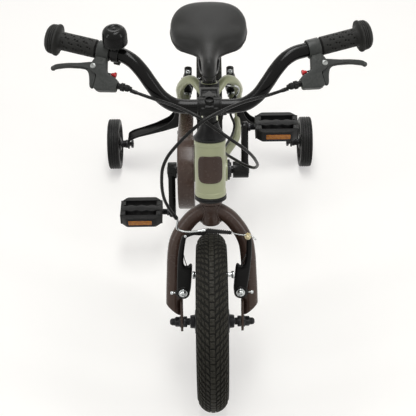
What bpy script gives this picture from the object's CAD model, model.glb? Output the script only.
# %% [markdown]
# # A kids' bike with training wheels
# The bike is a small steel one for a child of three to five: twelve inch wheels, a rim brake at each end, a
# chain guard, a bell and a pair of training wheels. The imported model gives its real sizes, pieces and joints.
# This lesson gives it the shapes and finishes that a person sees. All lengths are metres, +Z is up, the bike
# faces -Y, and its left side is +X.

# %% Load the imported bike
import math

import bpy
import numpy as np
from mathutils import Matrix, Vector
from mathutils.geometry import tessellate_polygon


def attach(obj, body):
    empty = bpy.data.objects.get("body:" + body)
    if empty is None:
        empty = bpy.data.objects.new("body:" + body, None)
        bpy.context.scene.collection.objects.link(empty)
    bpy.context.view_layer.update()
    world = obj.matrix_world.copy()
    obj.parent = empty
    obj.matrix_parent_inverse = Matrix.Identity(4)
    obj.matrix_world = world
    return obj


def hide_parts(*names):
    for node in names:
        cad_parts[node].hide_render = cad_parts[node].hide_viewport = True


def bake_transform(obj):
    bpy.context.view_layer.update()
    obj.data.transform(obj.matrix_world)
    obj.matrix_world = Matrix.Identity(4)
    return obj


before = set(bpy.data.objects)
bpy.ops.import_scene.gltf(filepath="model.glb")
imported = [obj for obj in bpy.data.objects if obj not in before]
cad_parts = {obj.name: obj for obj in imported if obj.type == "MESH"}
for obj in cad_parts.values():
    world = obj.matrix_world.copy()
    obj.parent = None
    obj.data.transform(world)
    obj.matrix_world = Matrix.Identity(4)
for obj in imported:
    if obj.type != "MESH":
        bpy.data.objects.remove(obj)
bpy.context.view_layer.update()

# %% [markdown]
# ## The camera
# The photograph looks down on the bike from the front, a little over a metre away. Its lens was worked out
# from pieces of known size: the 22.2 mm bar, the tyre, and the two training wheels on the same ground. The
# camera comes first, because every later picture is compared with the photograph through it. The view drifts
# sideways by 5 pixels in 385, which is a very small roll of the camera.

# %% Place the camera
PHOTO_SIZE = 416
FOCAL_PIXELS = 885.0
camera_data = bpy.data.cameras.new("photo_camera")
camera_data.sensor_width = 36.0
camera_data.lens = FOCAL_PIXELS / PHOTO_SIZE * camera_data.sensor_width
camera_data.shift_x = -2.8 / PHOTO_SIZE
camera = bpy.data.objects.new("photo_camera", camera_data)
turn = Matrix.Rotation(math.radians(46.0), 4, "X") @ Matrix.Rotation(-math.atan(5.0 / 385.0), 4, "Z")
camera.matrix_world = Matrix.Translation((0.0, -1.254, 1.351)) @ turn
bpy.context.collection.objects.link(camera)
bpy.context.scene.camera = camera
print("lens %.1f mm, camera %.2f m above the ground" % (camera_data.lens, camera.matrix_world.translation.z))

# %% [markdown]
# ## The bike's own directions
# A bicycle is drawn along a few slanted lines: the steering axis at 68 degrees, and the seat tube at 70. A
# point on the fork is easiest to give as "so far sideways, so far up the steering axis, so far in front of
# it", so a small function turns such a triple into a place in the room. It works on whole arrays at once.

# %% Axes and places
X, Y, Z = np.eye(3)
SIDES = {"left": 1.0, "right": -1.0}
WHEELS = {"front": np.array([0.0, -0.295, 0.154]), "rear": np.array([0.0, 0.295, 0.154])}
FRONT_AXLE, REAR_AXLE = WHEELS.values()

def leaning(degrees):
    """Two directions: up a line that leans back at this angle to the ground, and square to it, forwards."""
    cosine, sine = math.cos(math.radians(degrees)), math.sin(math.radians(degrees))
    return np.array([0.0, cosine, sine]), np.array([0.0, -sine, cosine])

STEER_UP, STEER_FORWARD = leaning(68.0)
SEAT_UP, SEAT_FORWARD = leaning(70.0)
STEERER = (FRONT_AXLE + Y * 0.03, STEER_UP)
SHELL = np.array([0.0, 0.068, 0.18])

def in_axes(origin, axes, *distances):
    """A place, or an array of places: origin + d0 axes[0] + d1 axes[1] + d2 axes[2]."""
    return origin + np.stack(np.broadcast_arrays(*distances), axis=-1) @ np.array(axes)

def steer_point(x, along, forward=0.0):
    """A place given sideways, up the steering axis and in front of it."""
    return in_axes(STEERER[0], (X, STEER_UP, STEER_FORWARD), x, along, forward)

def seat_point(along):
    """A place on the middle line of the seat tube, up from the bottom bracket shell."""
    return SHELL + SEAT_UP * along

def mm(*rows):
    """Rows of numbers in millimetres as an array in metres."""
    return np.array(rows, float) / 1000

print("top of the steerer:", np.round(steer_point(0.0, 0.334), 3))

# %% [markdown]
# ## From a grid of points to a closed solid
# Nearly every piece here is a surface with two parameters: one runs round a section, the other along the
# piece. Its points fill a grid of rings. Joining each point to its neighbours gives four-sided faces, a cap
# closes each open end, and the sign of the volume tells whether the faces look outwards.

# %% Rings to solids
def outwards(points, faces):
    """Turn every face over if the volume is negative: the sum of p0 . (p1 x p2) over a fan per face."""
    volume = sum(np.sum(points[block[:, :1]] * np.cross(points[block[:, 1:-1]], points[block[:, 2:]]))
                 for block in faces)
    return points, [block[:, ::-1] for block in faces] if volume < 0.0 else faces

def solid_of(rings, closed=False):
    """A solid from rings of points (ring, point, xyz). Ring i, point j is joined to ring i + 1, point j + 1.

    Closed rings run round and meet, as on a tyre. Otherwise the first and the last ring are capped.
    """
    rings = np.asarray(rings)
    rows, columns = rings.shape[:2]
    row, column = np.meshgrid(np.arange(rows if closed else rows - 1), np.arange(columns), indexing="ij")
    after, beside = (row + 1) % rows * columns, (column + 1) % columns
    row = row * columns
    faces = [np.stack([row + column, row + beside, after + beside, after + column], axis=-1).reshape(-1, 4)]
    if not closed:
        faces.append(np.stack([np.arange(columns)[::-1], (rows - 1) * columns + np.arange(columns)]))
    return outwards(rings.reshape(-1, 3), faces)

def many_solids(ring_sets):
    """One solid for each set of rings (set, ring, point, xyz), made together with shifted indices."""
    count, rows, columns = ring_sets.shape[:3]
    shifts = np.arange(count)[:, None, None] * rows * columns
    faces = [(block[None] + shifts).reshape(-1, block.shape[1]) for block in solid_of(ring_sets[0])[1]]
    return ring_sets.reshape(-1, 3), faces

def together(solids):
    """Several solids as one list of points and faces."""
    shifts = np.cumsum([0] + [len(points) for points, _ in solids])
    faces = [block + shift for (_, blocks), shift in zip(solids, shifts) for block in blocks]
    return np.concatenate([points for points, _ in solids]), faces

print("helpers for solids are ready")

# %% [markdown]
# ## Into Blender
# A finished piece is one mesh with a material, a body that it rides on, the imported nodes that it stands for,
# and the record's slot that its finish belongs to. The mesh is filled in whole arrays. Edges sharper than an
# angle stay crisp, and the rest is shaded smooth.

# %% Make a piece
LOOKS = {}

def add_piece(name, solids, finish, body, replaces=(), sharp=38.0):
    """A mesh object at the origin from a list of solids, riding on a body. Its place is in its mesh."""
    points, faces = together(solids)
    corners = np.concatenate([block.ravel() for block in faces])
    sizes = np.concatenate([np.full(len(block), block.shape[1]) for block in faces])
    mesh = bpy.data.meshes.new(name)
    mesh.vertices.add(len(points))
    mesh.vertices.foreach_set("co", points.ravel())
    mesh.loops.add(len(corners))
    mesh.loops.foreach_set("vertex_index", corners)
    mesh.polygons.add(len(sizes))
    mesh.polygons.foreach_set("loop_start", np.concatenate([[0], np.cumsum(sizes)[:-1]]))
    mesh.update(calc_edges=True)
    mesh.validate()
    mesh.materials.append(LOOKS[finish])
    mesh.shade_smooth()
    mesh.set_sharp_from_angle(angle=math.radians(sharp))
    piece = bpy.data.objects.new(name, mesh)
    bpy.context.collection.objects.link(piece)
    if body:
        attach(piece, body)
    if replaces:
        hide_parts(*replaces)
    return piece

# %% [markdown]
# ## Directions along a path
# A bar that follows a curve needs two directions square to it at every station. They come from one fixed
# direction, the one that the whole path leans towards least, made square to the path at each station. That
# keeps the section from twisting, and it is one line of array code.

# %% Paths and their directions
def unit(vectors):
    """The same directions with length one."""
    vectors = np.asarray(vectors, float)
    return vectors / np.linalg.norm(vectors, axis=-1, keepdims=True)

def square_to(axis):
    """Two unit directions that are square to an axis and to each other, or two arrays of them."""
    across = unit(np.cross(axis, np.where(np.abs(axis[..., 2:3]) < 0.9, Z, X)))
    return across, np.cross(axis, across)

def run_of(path):
    """The distance along a path at each of its points."""
    return np.concatenate([[0.0], np.cumsum(np.linalg.norm(np.diff(path, axis=0), axis=1))])

def points_at(path, distances):
    """The points of a path at the given distances along it."""
    run = run_of(path)
    return np.stack([np.interp(distances, run, column) for column in path.T], axis=-1)

def smooth_path(knots, step):
    """Evenly spaced points on a Hermite curve: each span blends its two ends and the slopes there."""
    knots = np.array(knots, float)
    marks = run_of(knots)
    slopes = np.gradient(knots, marks, axis=0)
    fine = np.linspace(0.0, marks[-1], 40 * len(knots))
    cell = np.clip(np.searchsorted(marks, fine, side="right") - 1, 0, len(knots) - 2)
    width = np.diff(marks)[cell][:, None]
    t = (fine - marks[cell])[:, None] / width
    curve = ((2 * t**3 - 3 * t**2 + 1) * knots[cell] + (t**3 - 2 * t**2 + t) * width * slopes[cell]
             + (3 * t**2 - 2 * t**3) * knots[cell + 1] + (t**3 - t**2) * width * slopes[cell + 1])
    length = run_of(curve)[-1]
    return points_at(curve, np.linspace(0.0, length, max(2, int(round(length / step)) + 1)))

def path_directions(path, closed=False):
    """At each point: ahead, across and other. The fixed direction is the least of the tangents' three."""
    ahead = unit(np.roll(path, -1, axis=0) - np.roll(path, 1, axis=0) if closed else np.gradient(path, axis=0))
    hint = np.linalg.svd(ahead, full_matrices=True)[2][-1]
    across = unit(hint - ahead * (ahead @ hint)[:, None])
    return ahead, across, np.cross(ahead, across)

print("path helpers are ready")

# %% [markdown]
# ## Round shapes
# Three makers give most of the bike. A *lathe* turns a profile about an axis. A *tube* carries a circle along
# a path. A *faceted* turning is a lathe whose section can change from a circle to a hexagon, which is what a
# bolt with a socket or a nut is.

# %% Lathe and tube
def circle_angles(sides):
    """Evenly spaced angles round a full turn."""
    return 2 * np.pi * np.arange(sides) / sides

def round_ring(across, other, sides):
    """cos a across + sin a other for angles a round a full turn, for one pair of directions or many."""
    angle = circle_angles(sides)[:, None]
    return np.cos(angle) * across[..., None, :] + np.sin(angle) * other[..., None, :]

def turned(rows, wave, origin, axis, closed=False, ways=None):
    """ring(s, a) = origin + along axis + r (1 + share wave(a)) (cos a across + sin a other).

    Rows are (along, r, share), and a share of 0 leaves the section round.
    """
    rows = np.asarray(rows, float)
    axis = unit(axis)
    ring = round_ring(*(ways or square_to(axis)), len(wave))
    radius = rows[:, 1:2] * (1.0 + rows[:, 2:3] * wave)
    return solid_of(origin + rows[:, :1, None] * axis + radius[:, :, None] * ring, closed)

def faceted(rows, origin, axis, closed=False):
    """A turning with six corners: with a full share, r = radius cos(30) / cos(a folded into one side)."""
    folded = np.mod(circle_angles(48), np.pi / 3) - np.pi / 6
    return turned(rows, math.cos(np.pi / 6) / np.cos(folded) - 1.0, origin, axis, closed)

def lathe(profile, origin, axis, sides=64, closed=False):
    """A profile of (along, radius) points turned about an axis."""
    rows = np.column_stack([profile, np.zeros(len(profile))])
    return turned(rows, np.zeros(sides), origin, axis, closed)

def hollow(profile, origin, axis, sides=64):
    """A closed profile turned about an axis, so that the shape keeps its bore."""
    return lathe(profile, origin, axis, sides, True)

def tube(path, radius, sides=24, closed=False, rounded=False):
    """A round bar along a path: ring(s, a) = centre(s) + radius(s) (cos a across(s) + sin a other(s)).

    A rounded bar ends in a quarter circle: radius r cos q at a distance r sin q past its last point.
    """
    path = np.asarray(path, float)
    radius = np.broadcast_to(np.asarray(radius, float), len(path))
    ahead, across, other = path_directions(path, closed)
    if rounded:
        q = np.radians([30.0, 58.0, 82.0])
        path = np.concatenate([path[0] - np.outer(radius[0] * np.sin(q[::-1]), ahead[0]), path,
                               path[-1] + np.outer(radius[-1] * np.sin(q), ahead[-1])])
        radius = np.concatenate([radius[0] * np.cos(q[::-1]), radius, radius[-1] * np.cos(q)])
        across, other = (np.pad(ways, ((3, 3), (0, 0)), mode="edge") for ways in (across, other))
    return solid_of(path[:, None] + radius[:, None, None] * round_ring(across, other, sides), closed)

def rods(starts, ends, radius, sides=8):
    """Many straight round bars at once, each from its start to its end."""
    starts, ends = np.asarray(starts, float), np.asarray(ends, float)
    ring = radius * round_ring(*square_to(unit(ends - starts)), sides)
    return many_solids(np.stack([starts[:, None] + ring, ends[:, None] + ring], axis=1))

print("lathe and tube are ready")

# %% Bolts, nuts and springs
def bolt_head(place, axis, radius, height, socket=0.5):
    """A button head with a six-sided socket: up the rim, over the crown, and down into the socket."""
    bore = radius * socket / height
    rise = radius / height
    rows = np.array([(-0.2, rise, 0), (0.15, rise, 0), (0.6, rise * 0.94, 0), (0.92, rise * 0.74, 0),
                     (1, bore * 1.25, 0), (1, bore * 1.02, 1), (0.9, bore, 1), (0.25, bore, 1),
                     (0.2, bore * 0.05, 1)])
    return faceted(rows * (height, height, 1), place, axis)

def nut(place, axis, radius, height, bore):
    """A six-sided nut with chamfered corners and a plain bore."""
    chamfer = 0.12 * height
    return faceted([(0, bore, 0), (0, radius * 0.86, 0), (chamfer, radius, 1), (height - chamfer, radius, 1),
                    (height, radius * 0.86, 0), (height, bore, 0)], place, axis, True)

def washer(place, axis, bore, radius, thickness):
    """A flat ring with slightly rounded rims."""
    soft = thickness * 0.25
    return hollow([(0, bore), (0, radius - soft), (soft, radius), (thickness - soft, radius),
                   (thickness, radius - soft), (thickness, bore)], place, axis, 40)

def screw(place, axis, radius, length, pitch=0.0012):
    """A threaded stud: the radius goes up and down by the thread's depth once in every pitch."""
    along = np.linspace(0.0, length, max(4, int(4 * length / pitch)))
    ripple = 0.06 * radius * np.sin(2 * np.pi * along / pitch)
    return lathe(np.column_stack([along, radius * 0.94 + ripple]), place, axis, 20)

def coil(origin, axis, coil_radius, wire, length, turns):
    """A spring: a round wire along (R cos a, R sin a, length a / (2 pi turns))."""
    across, other = square_to(unit(axis))
    a = np.linspace(0.0, 2 * np.pi * turns, int(20 * turns) + 1)[:, None]
    path = origin + coil_radius * (np.cos(a) * across + np.sin(a) * other) + unit(axis) * length * a / a[-1]
    return tube(path, wire, 8, rounded=True)

print("a nut of %d faces" % sum(len(block) for block in nut(np.zeros(3), X, 0.008, 0.005, 0.004)[1]))

# %% [markdown]
# ## Flat shapes
# A plate is cut from a drawn outline, and no real plate has a knife edge, so its corners are eased with small
# curves and its rims are rounded. A ribbon is a small section carried along a path, for straps and brackets.

# %% Outlines
def eased(points, radius, steps=4, closed=True):
    """Round an outline's corners: corner P becomes (1-t)^2 A + 2t(1-t) P + t^2 B between cut points A, B."""
    points = np.asarray(points, float)
    radius = np.broadcast_to(np.asarray(radius, float), len(points))[:, None]
    ends = []
    for step in (1, -1):
        leg = np.roll(points, step, axis=0) - points
        length = np.linalg.norm(leg, axis=1, keepdims=True)
        ends.append((points + leg / length * np.minimum(radius, 0.46 * length))[:, None])
    t = np.linspace(0.0, 1.0, steps)[None, :, None]
    curve = (1 - t) ** 2 * ends[0] + 2 * t * (1 - t) * points[:, None] + t**2 * ends[1]
    flat = curve.reshape(-1, points.shape[1])
    return flat if closed else np.concatenate([points[:1], flat[steps:-steps], points[-1:]])

def arc(centre, radius, first, last, count):
    """Points of a round stretch of an outline, from the first angle to the last in degrees."""
    angle = np.radians(np.linspace(first, last, count))
    return np.array(centre) + radius * np.column_stack([np.cos(angle), np.sin(angle)])

def rounded_box(width, height, corner, steps=4):
    """The outline of a rectangle with round corners, about its own middle."""
    return eased(np.array([(1, -1), (1, 1), (-1, 1), (-1, -1)]) * (width / 2, height / 2), corner, steps)

def sleeve(first, last, bore, radius, edge, origin, axis, sides, steps=4):
    """A short pipe between two distances along an axis, its four rims eased."""
    return hollow(eased([(first, bore), (first, radius), (last, radius), (last, bore)], edge, steps),
                  origin, axis, sides)

def cross_of(first, second):
    """The signed area between flat vectors."""
    return first[:, 0] * second[:, 1] - first[:, 1] * second[:, 0]

def way_round(outline):
    """+1 for an outline that runs anticlockwise, or else -1, from the sign of its area."""
    return math.copysign(1.0, np.sum(cross_of(outline, np.roll(outline, -1, axis=0))))

def moved_in(outline, distance):
    """An outline moved inwards: each point goes against the mean of its two sides' outward directions."""
    ahead = np.roll(outline, -1, axis=0) - outline
    side = unit(np.column_stack([ahead[:, 1], -ahead[:, 0]])) * way_round(outline)
    mean = side + np.roll(side, 1, axis=0)
    return outline - mean / np.maximum(np.sum(mean * mean, axis=1, keepdims=True) / 2.0, 0.7) * distance

def tight_corners(outline, edge):
    """How much of the edge each point may move in: no more than the outline's own radius there, spread out."""
    ahead = np.roll(outline, -1, axis=0) - outline
    length = np.maximum(np.linalg.norm(ahead, axis=1), 1e-9)
    before = np.roll(ahead, 1, axis=0)
    turning = np.arctan2(cross_of(before, ahead), np.sum(before * ahead, axis=1))
    turning = turning * math.copysign(1.0, turning.sum())
    room = np.where(turning > 0.02, 0.45 * (length + np.roll(length, 1)) / np.maximum(turning, 0.02), 1.0)
    for _ in range(24):
        room = np.minimum(room, np.minimum(np.roll(room, 1) + 0.6 * np.roll(length, 1),
                                           np.roll(room, -1) + 0.6 * length))
    return np.minimum(1.0, room / edge)

print("an eased square has", len(rounded_box(0.02, 0.02, 0.004)), "points")

# %% Plates and ribbons
def plate(outline, origin, across, up, depth, edge=0.0008, steps=3):
    """A flat part with rounded rims: ring q is the outline moved in by edge (1 - sin q) at edge (1 - cos q).

    The two flat faces are cut into triangles of the outline itself, so that hooks and notches stay open.
    """
    outline = np.asarray(outline, float)
    thickness = float(np.linalg.norm(depth))
    edge = min(edge, 0.45 * thickness)
    q = np.radians(np.linspace(0.0, 90.0, steps))
    inset = edge * (1.0 - np.sin(q))
    height = edge * (1.0 - np.cos(q))
    share = tight_corners(outline, edge)[:, None]
    flats = np.stack([moved_in(outline, d * share) for d in (*inset, *inset[::-1])])
    levels = np.concatenate([height, thickness - height[::-1]])[:, None, None]
    rings = origin + flats[..., :1] * across + flats[..., 1:] * up + levels * unit(depth)
    points, faces = solid_of(rings)
    cut = np.array(tessellate_polygon([[Vector((*point, 0.0)) for point in outline.tolist()]]))
    if len(cut) != len(outline) - 2:
        return points, faces
    first, second, third = outline[cut].transpose(1, 0, 2)
    ahead = cross_of(second - first, third - first) * way_round(outline) > 0.0
    top_first = faces[1][1][0] < faces[1][1][1]
    cut = np.where((ahead == top_first)[:, None], cut, cut[:, ::-1])
    return points, [faces[0], cut[:, ::-1], cut + (len(rings) - 1) * len(outline)]

def ribbon(path, section, width_way, share=1.0):
    """A section of (width, thickness) points carried along a path. Its width, times share, is along width_way."""
    ahead = path_directions(path)[0]
    wide = unit(width_way - ahead * (ahead @ width_way)[:, None])
    share = np.broadcast_to(share, len(path))[:, None, None]
    return solid_of(path[:, None] + section[:, :1] * share * wide[:, None]
                    + section[:, 1:] * np.cross(ahead, wide)[:, None])

print("plates and ribbons are ready")

# %% [markdown]
# ## Tubes that are welded together
# Where a frame tube meets another one its end is cut to a saddle curve, and a bead of weld runs along that
# curve. The curve is exact: from every point of the tube's ring, a line along the tube meets the round
# neighbour at the larger root of a quadratic. The bead is a thin tube along the curve with a small ripple.

# %% Mitred tubes and weld beads
def reach_of_tube(points, direction, centre, axis, radius):
    """How far the neighbour's surface is: the larger root of |w + s d|^2 = r^2, square to its axis."""
    offset = points - centre
    w = offset - np.outer(offset @ axis, axis)
    d = direction - axis * (direction @ axis)
    half_b = w @ d
    c = np.sum(w * w, axis=1) - radius**2
    return (-half_b + np.sqrt(np.maximum(half_b**2 - (d @ d) * c, 0.0))) / (d @ d)

def mitred_tube(start, end, radius, first, last=None, sides=56):
    """A straight tube whose ends are cut to round neighbours, each given as (centre, axis, radius).

    Returns the tube and a list of the saddle curves, for the welds.
    """
    overlap = 0.0015
    direction = unit(end - start)
    ring = start + radius * round_ring(*square_to(direction), sides)
    low = reach_of_tube(ring, direction, *first)
    high = np.full(sides, float(np.linalg.norm(end - start)))
    curves = [ring + low[:, None] * direction]
    if last:
        high = high - reach_of_tube(ring + end - start, -direction, *last)
        curves.append(ring + high[:, None] * direction)
        high = high + overlap
    low = low - overlap
    run = low + (high - low) * np.linspace(0.0, 1.0, 10)[:, None]
    return solid_of(ring + run[:, :, None] * direction), curves

def weld(curve, radius=0.0021, pitch=0.0034):
    """A bead on a closed curve. Its radius swells once in every pitch, as the drops of a weld do."""
    curve = np.concatenate([curve, curve[:1]])
    length = run_of(curve)[-1]
    count = max(60, int(length / pitch) * 5)
    swell = np.sin(2 * np.pi * round(length / pitch) * np.arange(count) / count)
    return tube(points_at(curve, np.linspace(0.0, length, count, endpoint=False)),
                radius * (1.0 + 0.09 * swell), 10, closed=True)

print("weld helpers are ready")

# %% [markdown]
# ## Finishes: one shared layer of small faults
# Paint, plastic, rubber and metal have in common that none of them is even: the colour drifts a little, some
# patches are duller, a fine grain catches the light, corners are rubbed paler, and dust settles on what faces
# up. That could be painted separately in every material. It is built once as a node group instead, and each
# material sets its own amounts.

# %% Node helpers
def linear(code):
    """A colour written as RRGGBB, in the linear values that the shader works in."""
    parts = np.array([int(code[i:i + 2], 16) for i in (0, 2, 4)]) / 255.0
    parts = np.where(parts <= 0.04045, parts / 12.92, ((parts + 0.055) / 1.055) ** 2.4)
    return (*parts.tolist(), 1.0)

def fill(tree, node, inputs):
    """Set a node's inputs. An input that is a socket is linked, any other is a value."""
    for key, value in inputs.items():
        if isinstance(value, bpy.types.NodeSocket):
            tree.links.new(value, node.inputs[key])
        else:
            node.inputs[key].default_value = value

def add_node(tree, kind, inputs=(), **settings):
    """A node with its settings and inputs."""
    node = tree.nodes.new("ShaderNode" + kind)
    for key, value in settings.items():
        setattr(node, key, value)
    fill(tree, node, dict(inputs))
    return node

def new_group(name, inputs, outputs):
    """An empty shader group with named sockets, its inputs, and a function that fills its outputs."""
    tree = bpy.data.node_groups.new(name, "ShaderNodeTree")
    for socket_name, value in inputs.items():
        kind = {3: "Vector", 4: "Color"}[len(value)] if isinstance(value, tuple) else "Float"
        socket = tree.interface.new_socket(socket_name, in_out="INPUT", socket_type="NodeSocket" + kind)
        socket.default_value = value
    for socket_name, kind in outputs.items():
        tree.interface.new_socket(socket_name, in_out="OUTPUT", socket_type="NodeSocket" + kind)
    end = tree.nodes.new("NodeGroupOutput")
    return tree, tree.nodes.new("NodeGroupInput").outputs, lambda results: fill(tree, end, results)

def maths(tree, operation, first, second, clamp=False):
    """The result socket of one sum, product or other operation."""
    return add_node(tree, "Math", {0: first, 1: second}, operation=operation, use_clamp=clamp).outputs[0]

def times(tree, first, second, clamp=False):
    """The product of two values."""
    return maths(tree, "MULTIPLY", first, second, clamp)

def noise(tree, vector, scale, detail=2.0):
    """A noise value about one half. Its features are about one over the scale, in metres."""
    return add_node(tree, "TexNoise", {"Vector": vector, "Scale": scale, "Detail": detail}).outputs["Fac"]

def remap(tree, value, low, high):
    """A value taken from low..high to 0..1 and held there."""
    return add_node(tree, "MapRange", {0: value, 1: low, 2: high, 3: 0.0, 4: 1.0}).outputs[0]

def blend_colours(tree, share, first, second):
    """Two colours mixed by a share."""
    return add_node(tree, "Mix", {"Factor": share, 6: first, 7: second}, data_type="RGBA").outputs[2]

print("node helpers are ready")

# %% The shared surface group
ORIGIN = (0.0, 0.0, 0.0)
surface_group, given, put_out = new_group(
    "uneven_surface",
    {"Vector": ORIGIN, "Colour": (0.5, 0.5, 0.5, 1.0), "Second colour": (0.4, 0.4, 0.4, 1.0),
     "Patch scale": 40.0, "Patches": 0.5, "Roughness": 0.5, "Roughness spread": 0.1, "Grain scale": 900.0,
     "Rubbed colour": (0.6, 0.6, 0.6, 1.0), "Rubbed": 0.0, "Dust": 0.0},
    {"Colour": "Color", "Roughness": "Float", "Height": "Float"})
g = surface_group
broad = noise(g, given["Vector"], given["Patch scale"], 3.0)
fine = noise(g, given["Vector"], times(g, given["Patch scale"], 7.0))
patch = times(g, remap(g, broad, 0.35, 0.65), given["Patches"])
tinted = blend_colours(g, patch, given["Colour"], given["Second colour"])
shape_of = add_node(g, "NewGeometry").outputs
rubbing = times(g, remap(g, shape_of["Pointiness"], 0.515, 0.6), remap(g, fine, 0.3, 0.6))
rubbed = blend_colours(g, times(g, rubbing, given["Rubbed"]), tinted, given["Rubbed colour"])
upward = add_node(g, "SeparateXYZ", {0: shape_of["Normal"]}).outputs["Z"]
settled = times(g, remap(g, upward, 0.35, 1.0), remap(g, fine, 0.4, 0.75))
dust = times(g, settled, given["Dust"], True)
duller = times(g, maths(g, "SUBTRACT", fine, 0.5), given["Roughness spread"])
duller = maths(g, "ADD", duller, times(g, dust, 0.3))
put_out({"Colour": blend_colours(g, dust, rubbed, (0.34, 0.33, 0.3, 1.0)),
         "Roughness": maths(g, "ADD", given["Roughness"], duller, True),
         "Height": noise(g, given["Vector"], given["Grain scale"], 1.0)})
print("shared surface group has", len(g.nodes), "nodes")

# %% [markdown]
# ## Two more effects
# The saddle cover is embossed with a fine leather pebble, cells with soft walls between them. Drawn or turned
# metal has fine marks along one direction, which is a noise stretched many times along that direction.

# %% Pebble and drawn marks
pebble_group, given, put_out = new_group("pebble", {"Vector": ORIGIN, "Scale": 600.0}, {"Height": "Float"})
g = pebble_group
cells = add_node(g, "TexVoronoi", {"Vector": given["Vector"], "Scale": given["Scale"]}, feature="DISTANCE_TO_EDGE")
crinkle = noise(g, given["Vector"], times(g, given["Scale"], 0.35), 3.0)
put_out({"Height": maths(g, "ADD", remap(g, cells.outputs["Distance"], 0.0, 0.22), times(g, crinkle, 0.6))})

drawn_group, given, put_out = new_group("drawn_marks", {"Vector": ORIGIN, "Stretch": (60.0, 1500.0, 1500.0)},
                                        {"Height": "Float"})
stretched = add_node(drawn_group, "VectorMath", {0: given["Vector"], 1: given["Stretch"]}, operation="MULTIPLY")
put_out({"Height": noise(drawn_group, stretched.outputs[0], 1.0)})
print("pebble and drawn marks are ready")

# %% [markdown]
# ## The materials
# Each material is a Principled shader with constants on its own sockets, the shared group for the colour and
# the roughness, and a Bump node for the grain. Gloss paint gets a clear coat, which is what a bicycle's
# powder coat and lacquer look like. Object coordinates hold the pattern to the piece as it moves.

# %% Build a material
def add_look(name, colour, second, roughness, metallic=0.0, coat=0.0, specular=0.5, patches=0.5,
             patch_scale=45.0, spread=0.12, grain=900.0, bump=0.25, depth=0.0001, rubbed=0.0,
             rubbed_colour="8A8A86", dust=0.0, sheen=0.0, marks=None, pebble=0.0):
    """A material for one finish. The marks or the pebble take the place of the plain grain."""
    material = bpy.data.materials.new(name)
    material.use_nodes = True
    tree = material.node_tree
    place = add_node(tree, "TexCoord").outputs["Object"]
    surface = add_node(tree, "Group", {
        "Vector": place, "Colour": linear(colour), "Second colour": linear(second), "Patch scale": patch_scale,
        "Patches": patches, "Roughness": roughness, "Roughness spread": spread, "Grain scale": grain,
        "Rubbed colour": linear(rubbed_colour), "Rubbed": rubbed, "Dust": dust}, node_tree=surface_group).outputs
    height = surface["Height"]
    if marks:
        drawn = add_node(tree, "Group", {"Vector": place, "Stretch": marks}, node_tree=drawn_group)
        height = drawn.outputs["Height"]
    if pebble:
        embossed = add_node(tree, "Group", {"Vector": place, "Scale": pebble}, node_tree=pebble_group)
        height = embossed.outputs["Height"]
    relief = add_node(tree, "Bump", {"Strength": bump, "Distance": depth, "Height": height})
    fill(tree, tree.nodes["Principled BSDF"], {
        "Base Color": surface["Colour"], "Roughness": surface["Roughness"], "Normal": relief.outputs["Normal"],
        "Metallic": metallic, "Coat Weight": coat, "Coat Roughness": 0.08, "Specular IOR Level": specular,
        "Sheen Weight": sheen, "Sheen Roughness": 0.45})
    LOOKS[name] = material

print("node groups for the materials:", len(bpy.data.node_groups))

# %% [markdown]
# ### Paint
# The frame is a chalky sage green, and the fork and the chain guard a glossy brown with a touch of mauve.
# The bar, the stem, the cranks and the brake arms are black. Sprayed paint has a very faint orange-peel
# ripple a millimetre or two across, so its grain is coarse and shallow, and its corners hardly wear.

# %% Painted finishes
add_look("sage_paint", "AFB391", "A7AB88", 0.34, coat=0.16, specular=0.4, patches=0.6,
         patch_scale=22.0, grain=520.0, bump=0.04, rubbed=0.15, rubbed_colour="C9CCAE", dust=0.011)
add_look("brown_paint", "46362F", "3F302B", 0.26, coat=0.06, specular=0.26, patches=0.6,
         patch_scale=20.0, grain=520.0, bump=0.04, rubbed=0.18, rubbed_colour="8A7D77", dust=0.011)
add_look("black_gloss", "0A0A0A", "0D0D0D", 0.18, specular=0.15, grain=520.0, bump=0.04,
         rubbed=0.12, rubbed_colour="5A5A58", dust=0.013)
add_look("black_satin", "0E0E0E", "121212", 0.34, specular=0.14, grain=1100.0, bump=0.18,
         rubbed=0.2, rubbed_colour="5C5C5A", dust=0.013)
print("painted finishes:", len(LOOKS))

# %% [markdown]
# ### Moulded plastic and rubber
# Moulded plastic keeps the fine spark-eroded grain of its mould. The brake levers are a paler, glass-filled
# grey. Rubber is the dullest thing on the bike. The tyre has a faint brown tint and holds dust, the ground
# between its blocks is darker, and the saddle's cover is a soft vinyl with a pebble grain and a little sheen.

# %% Moulded finishes
add_look("black_plastic", "141415", "19191A", 0.4, specular=0.15, grain=2200.0, bump=0.3,
         rubbed=0.25, rubbed_colour="6A6A68", dust=0.022)
add_look("grey_resin", "292B2A", "303231", 0.4, specular=0.3, grain=2400.0, bump=0.35,
         rubbed=0.3, rubbed_colour="8C8E8A", dust=0.011)
add_look("tyre_rubber", "1D1C19", "25241F", 0.62, specular=0.14, patches=0.8, grain=1800.0,
         bump=0.3, rubbed=0.45, rubbed_colour="54524A", dust=0.04)
add_look("tyre_groove", "11110F", "171613", 0.7, specular=0.18, patches=0.8, grain=1800.0, bump=0.3)
add_look("grip_rubber", "232322", "2A2A29", 0.56, specular=0.16, grain=2600.0, bump=0.4,
         rubbed=0.2, rubbed_colour="5A5A58", dust=0.011, sheen=0.04)
add_look("saddle_vinyl", "131313", "171716", 0.46, specular=0.28, bump=0.3, depth=0.00018,
         pebble=900.0, sheen=0.02, dust=0.009)
add_look("pad_rubber", "1A1A1A", "232322", 0.8, specular=0.3, grain=1500.0, bump=0.5, dust=0.022)
add_look("cable_jacket", "0C0C0C", "101010", 0.28, specular=0.18, grain=1200.0, bump=0.15)
add_look("red_plastic", "C3131B", "A90F17", 0.32, coat=0.2, grain=1800.0, bump=0.15,
         rubbed=0.2, rubbed_colour="E8534F")
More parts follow.
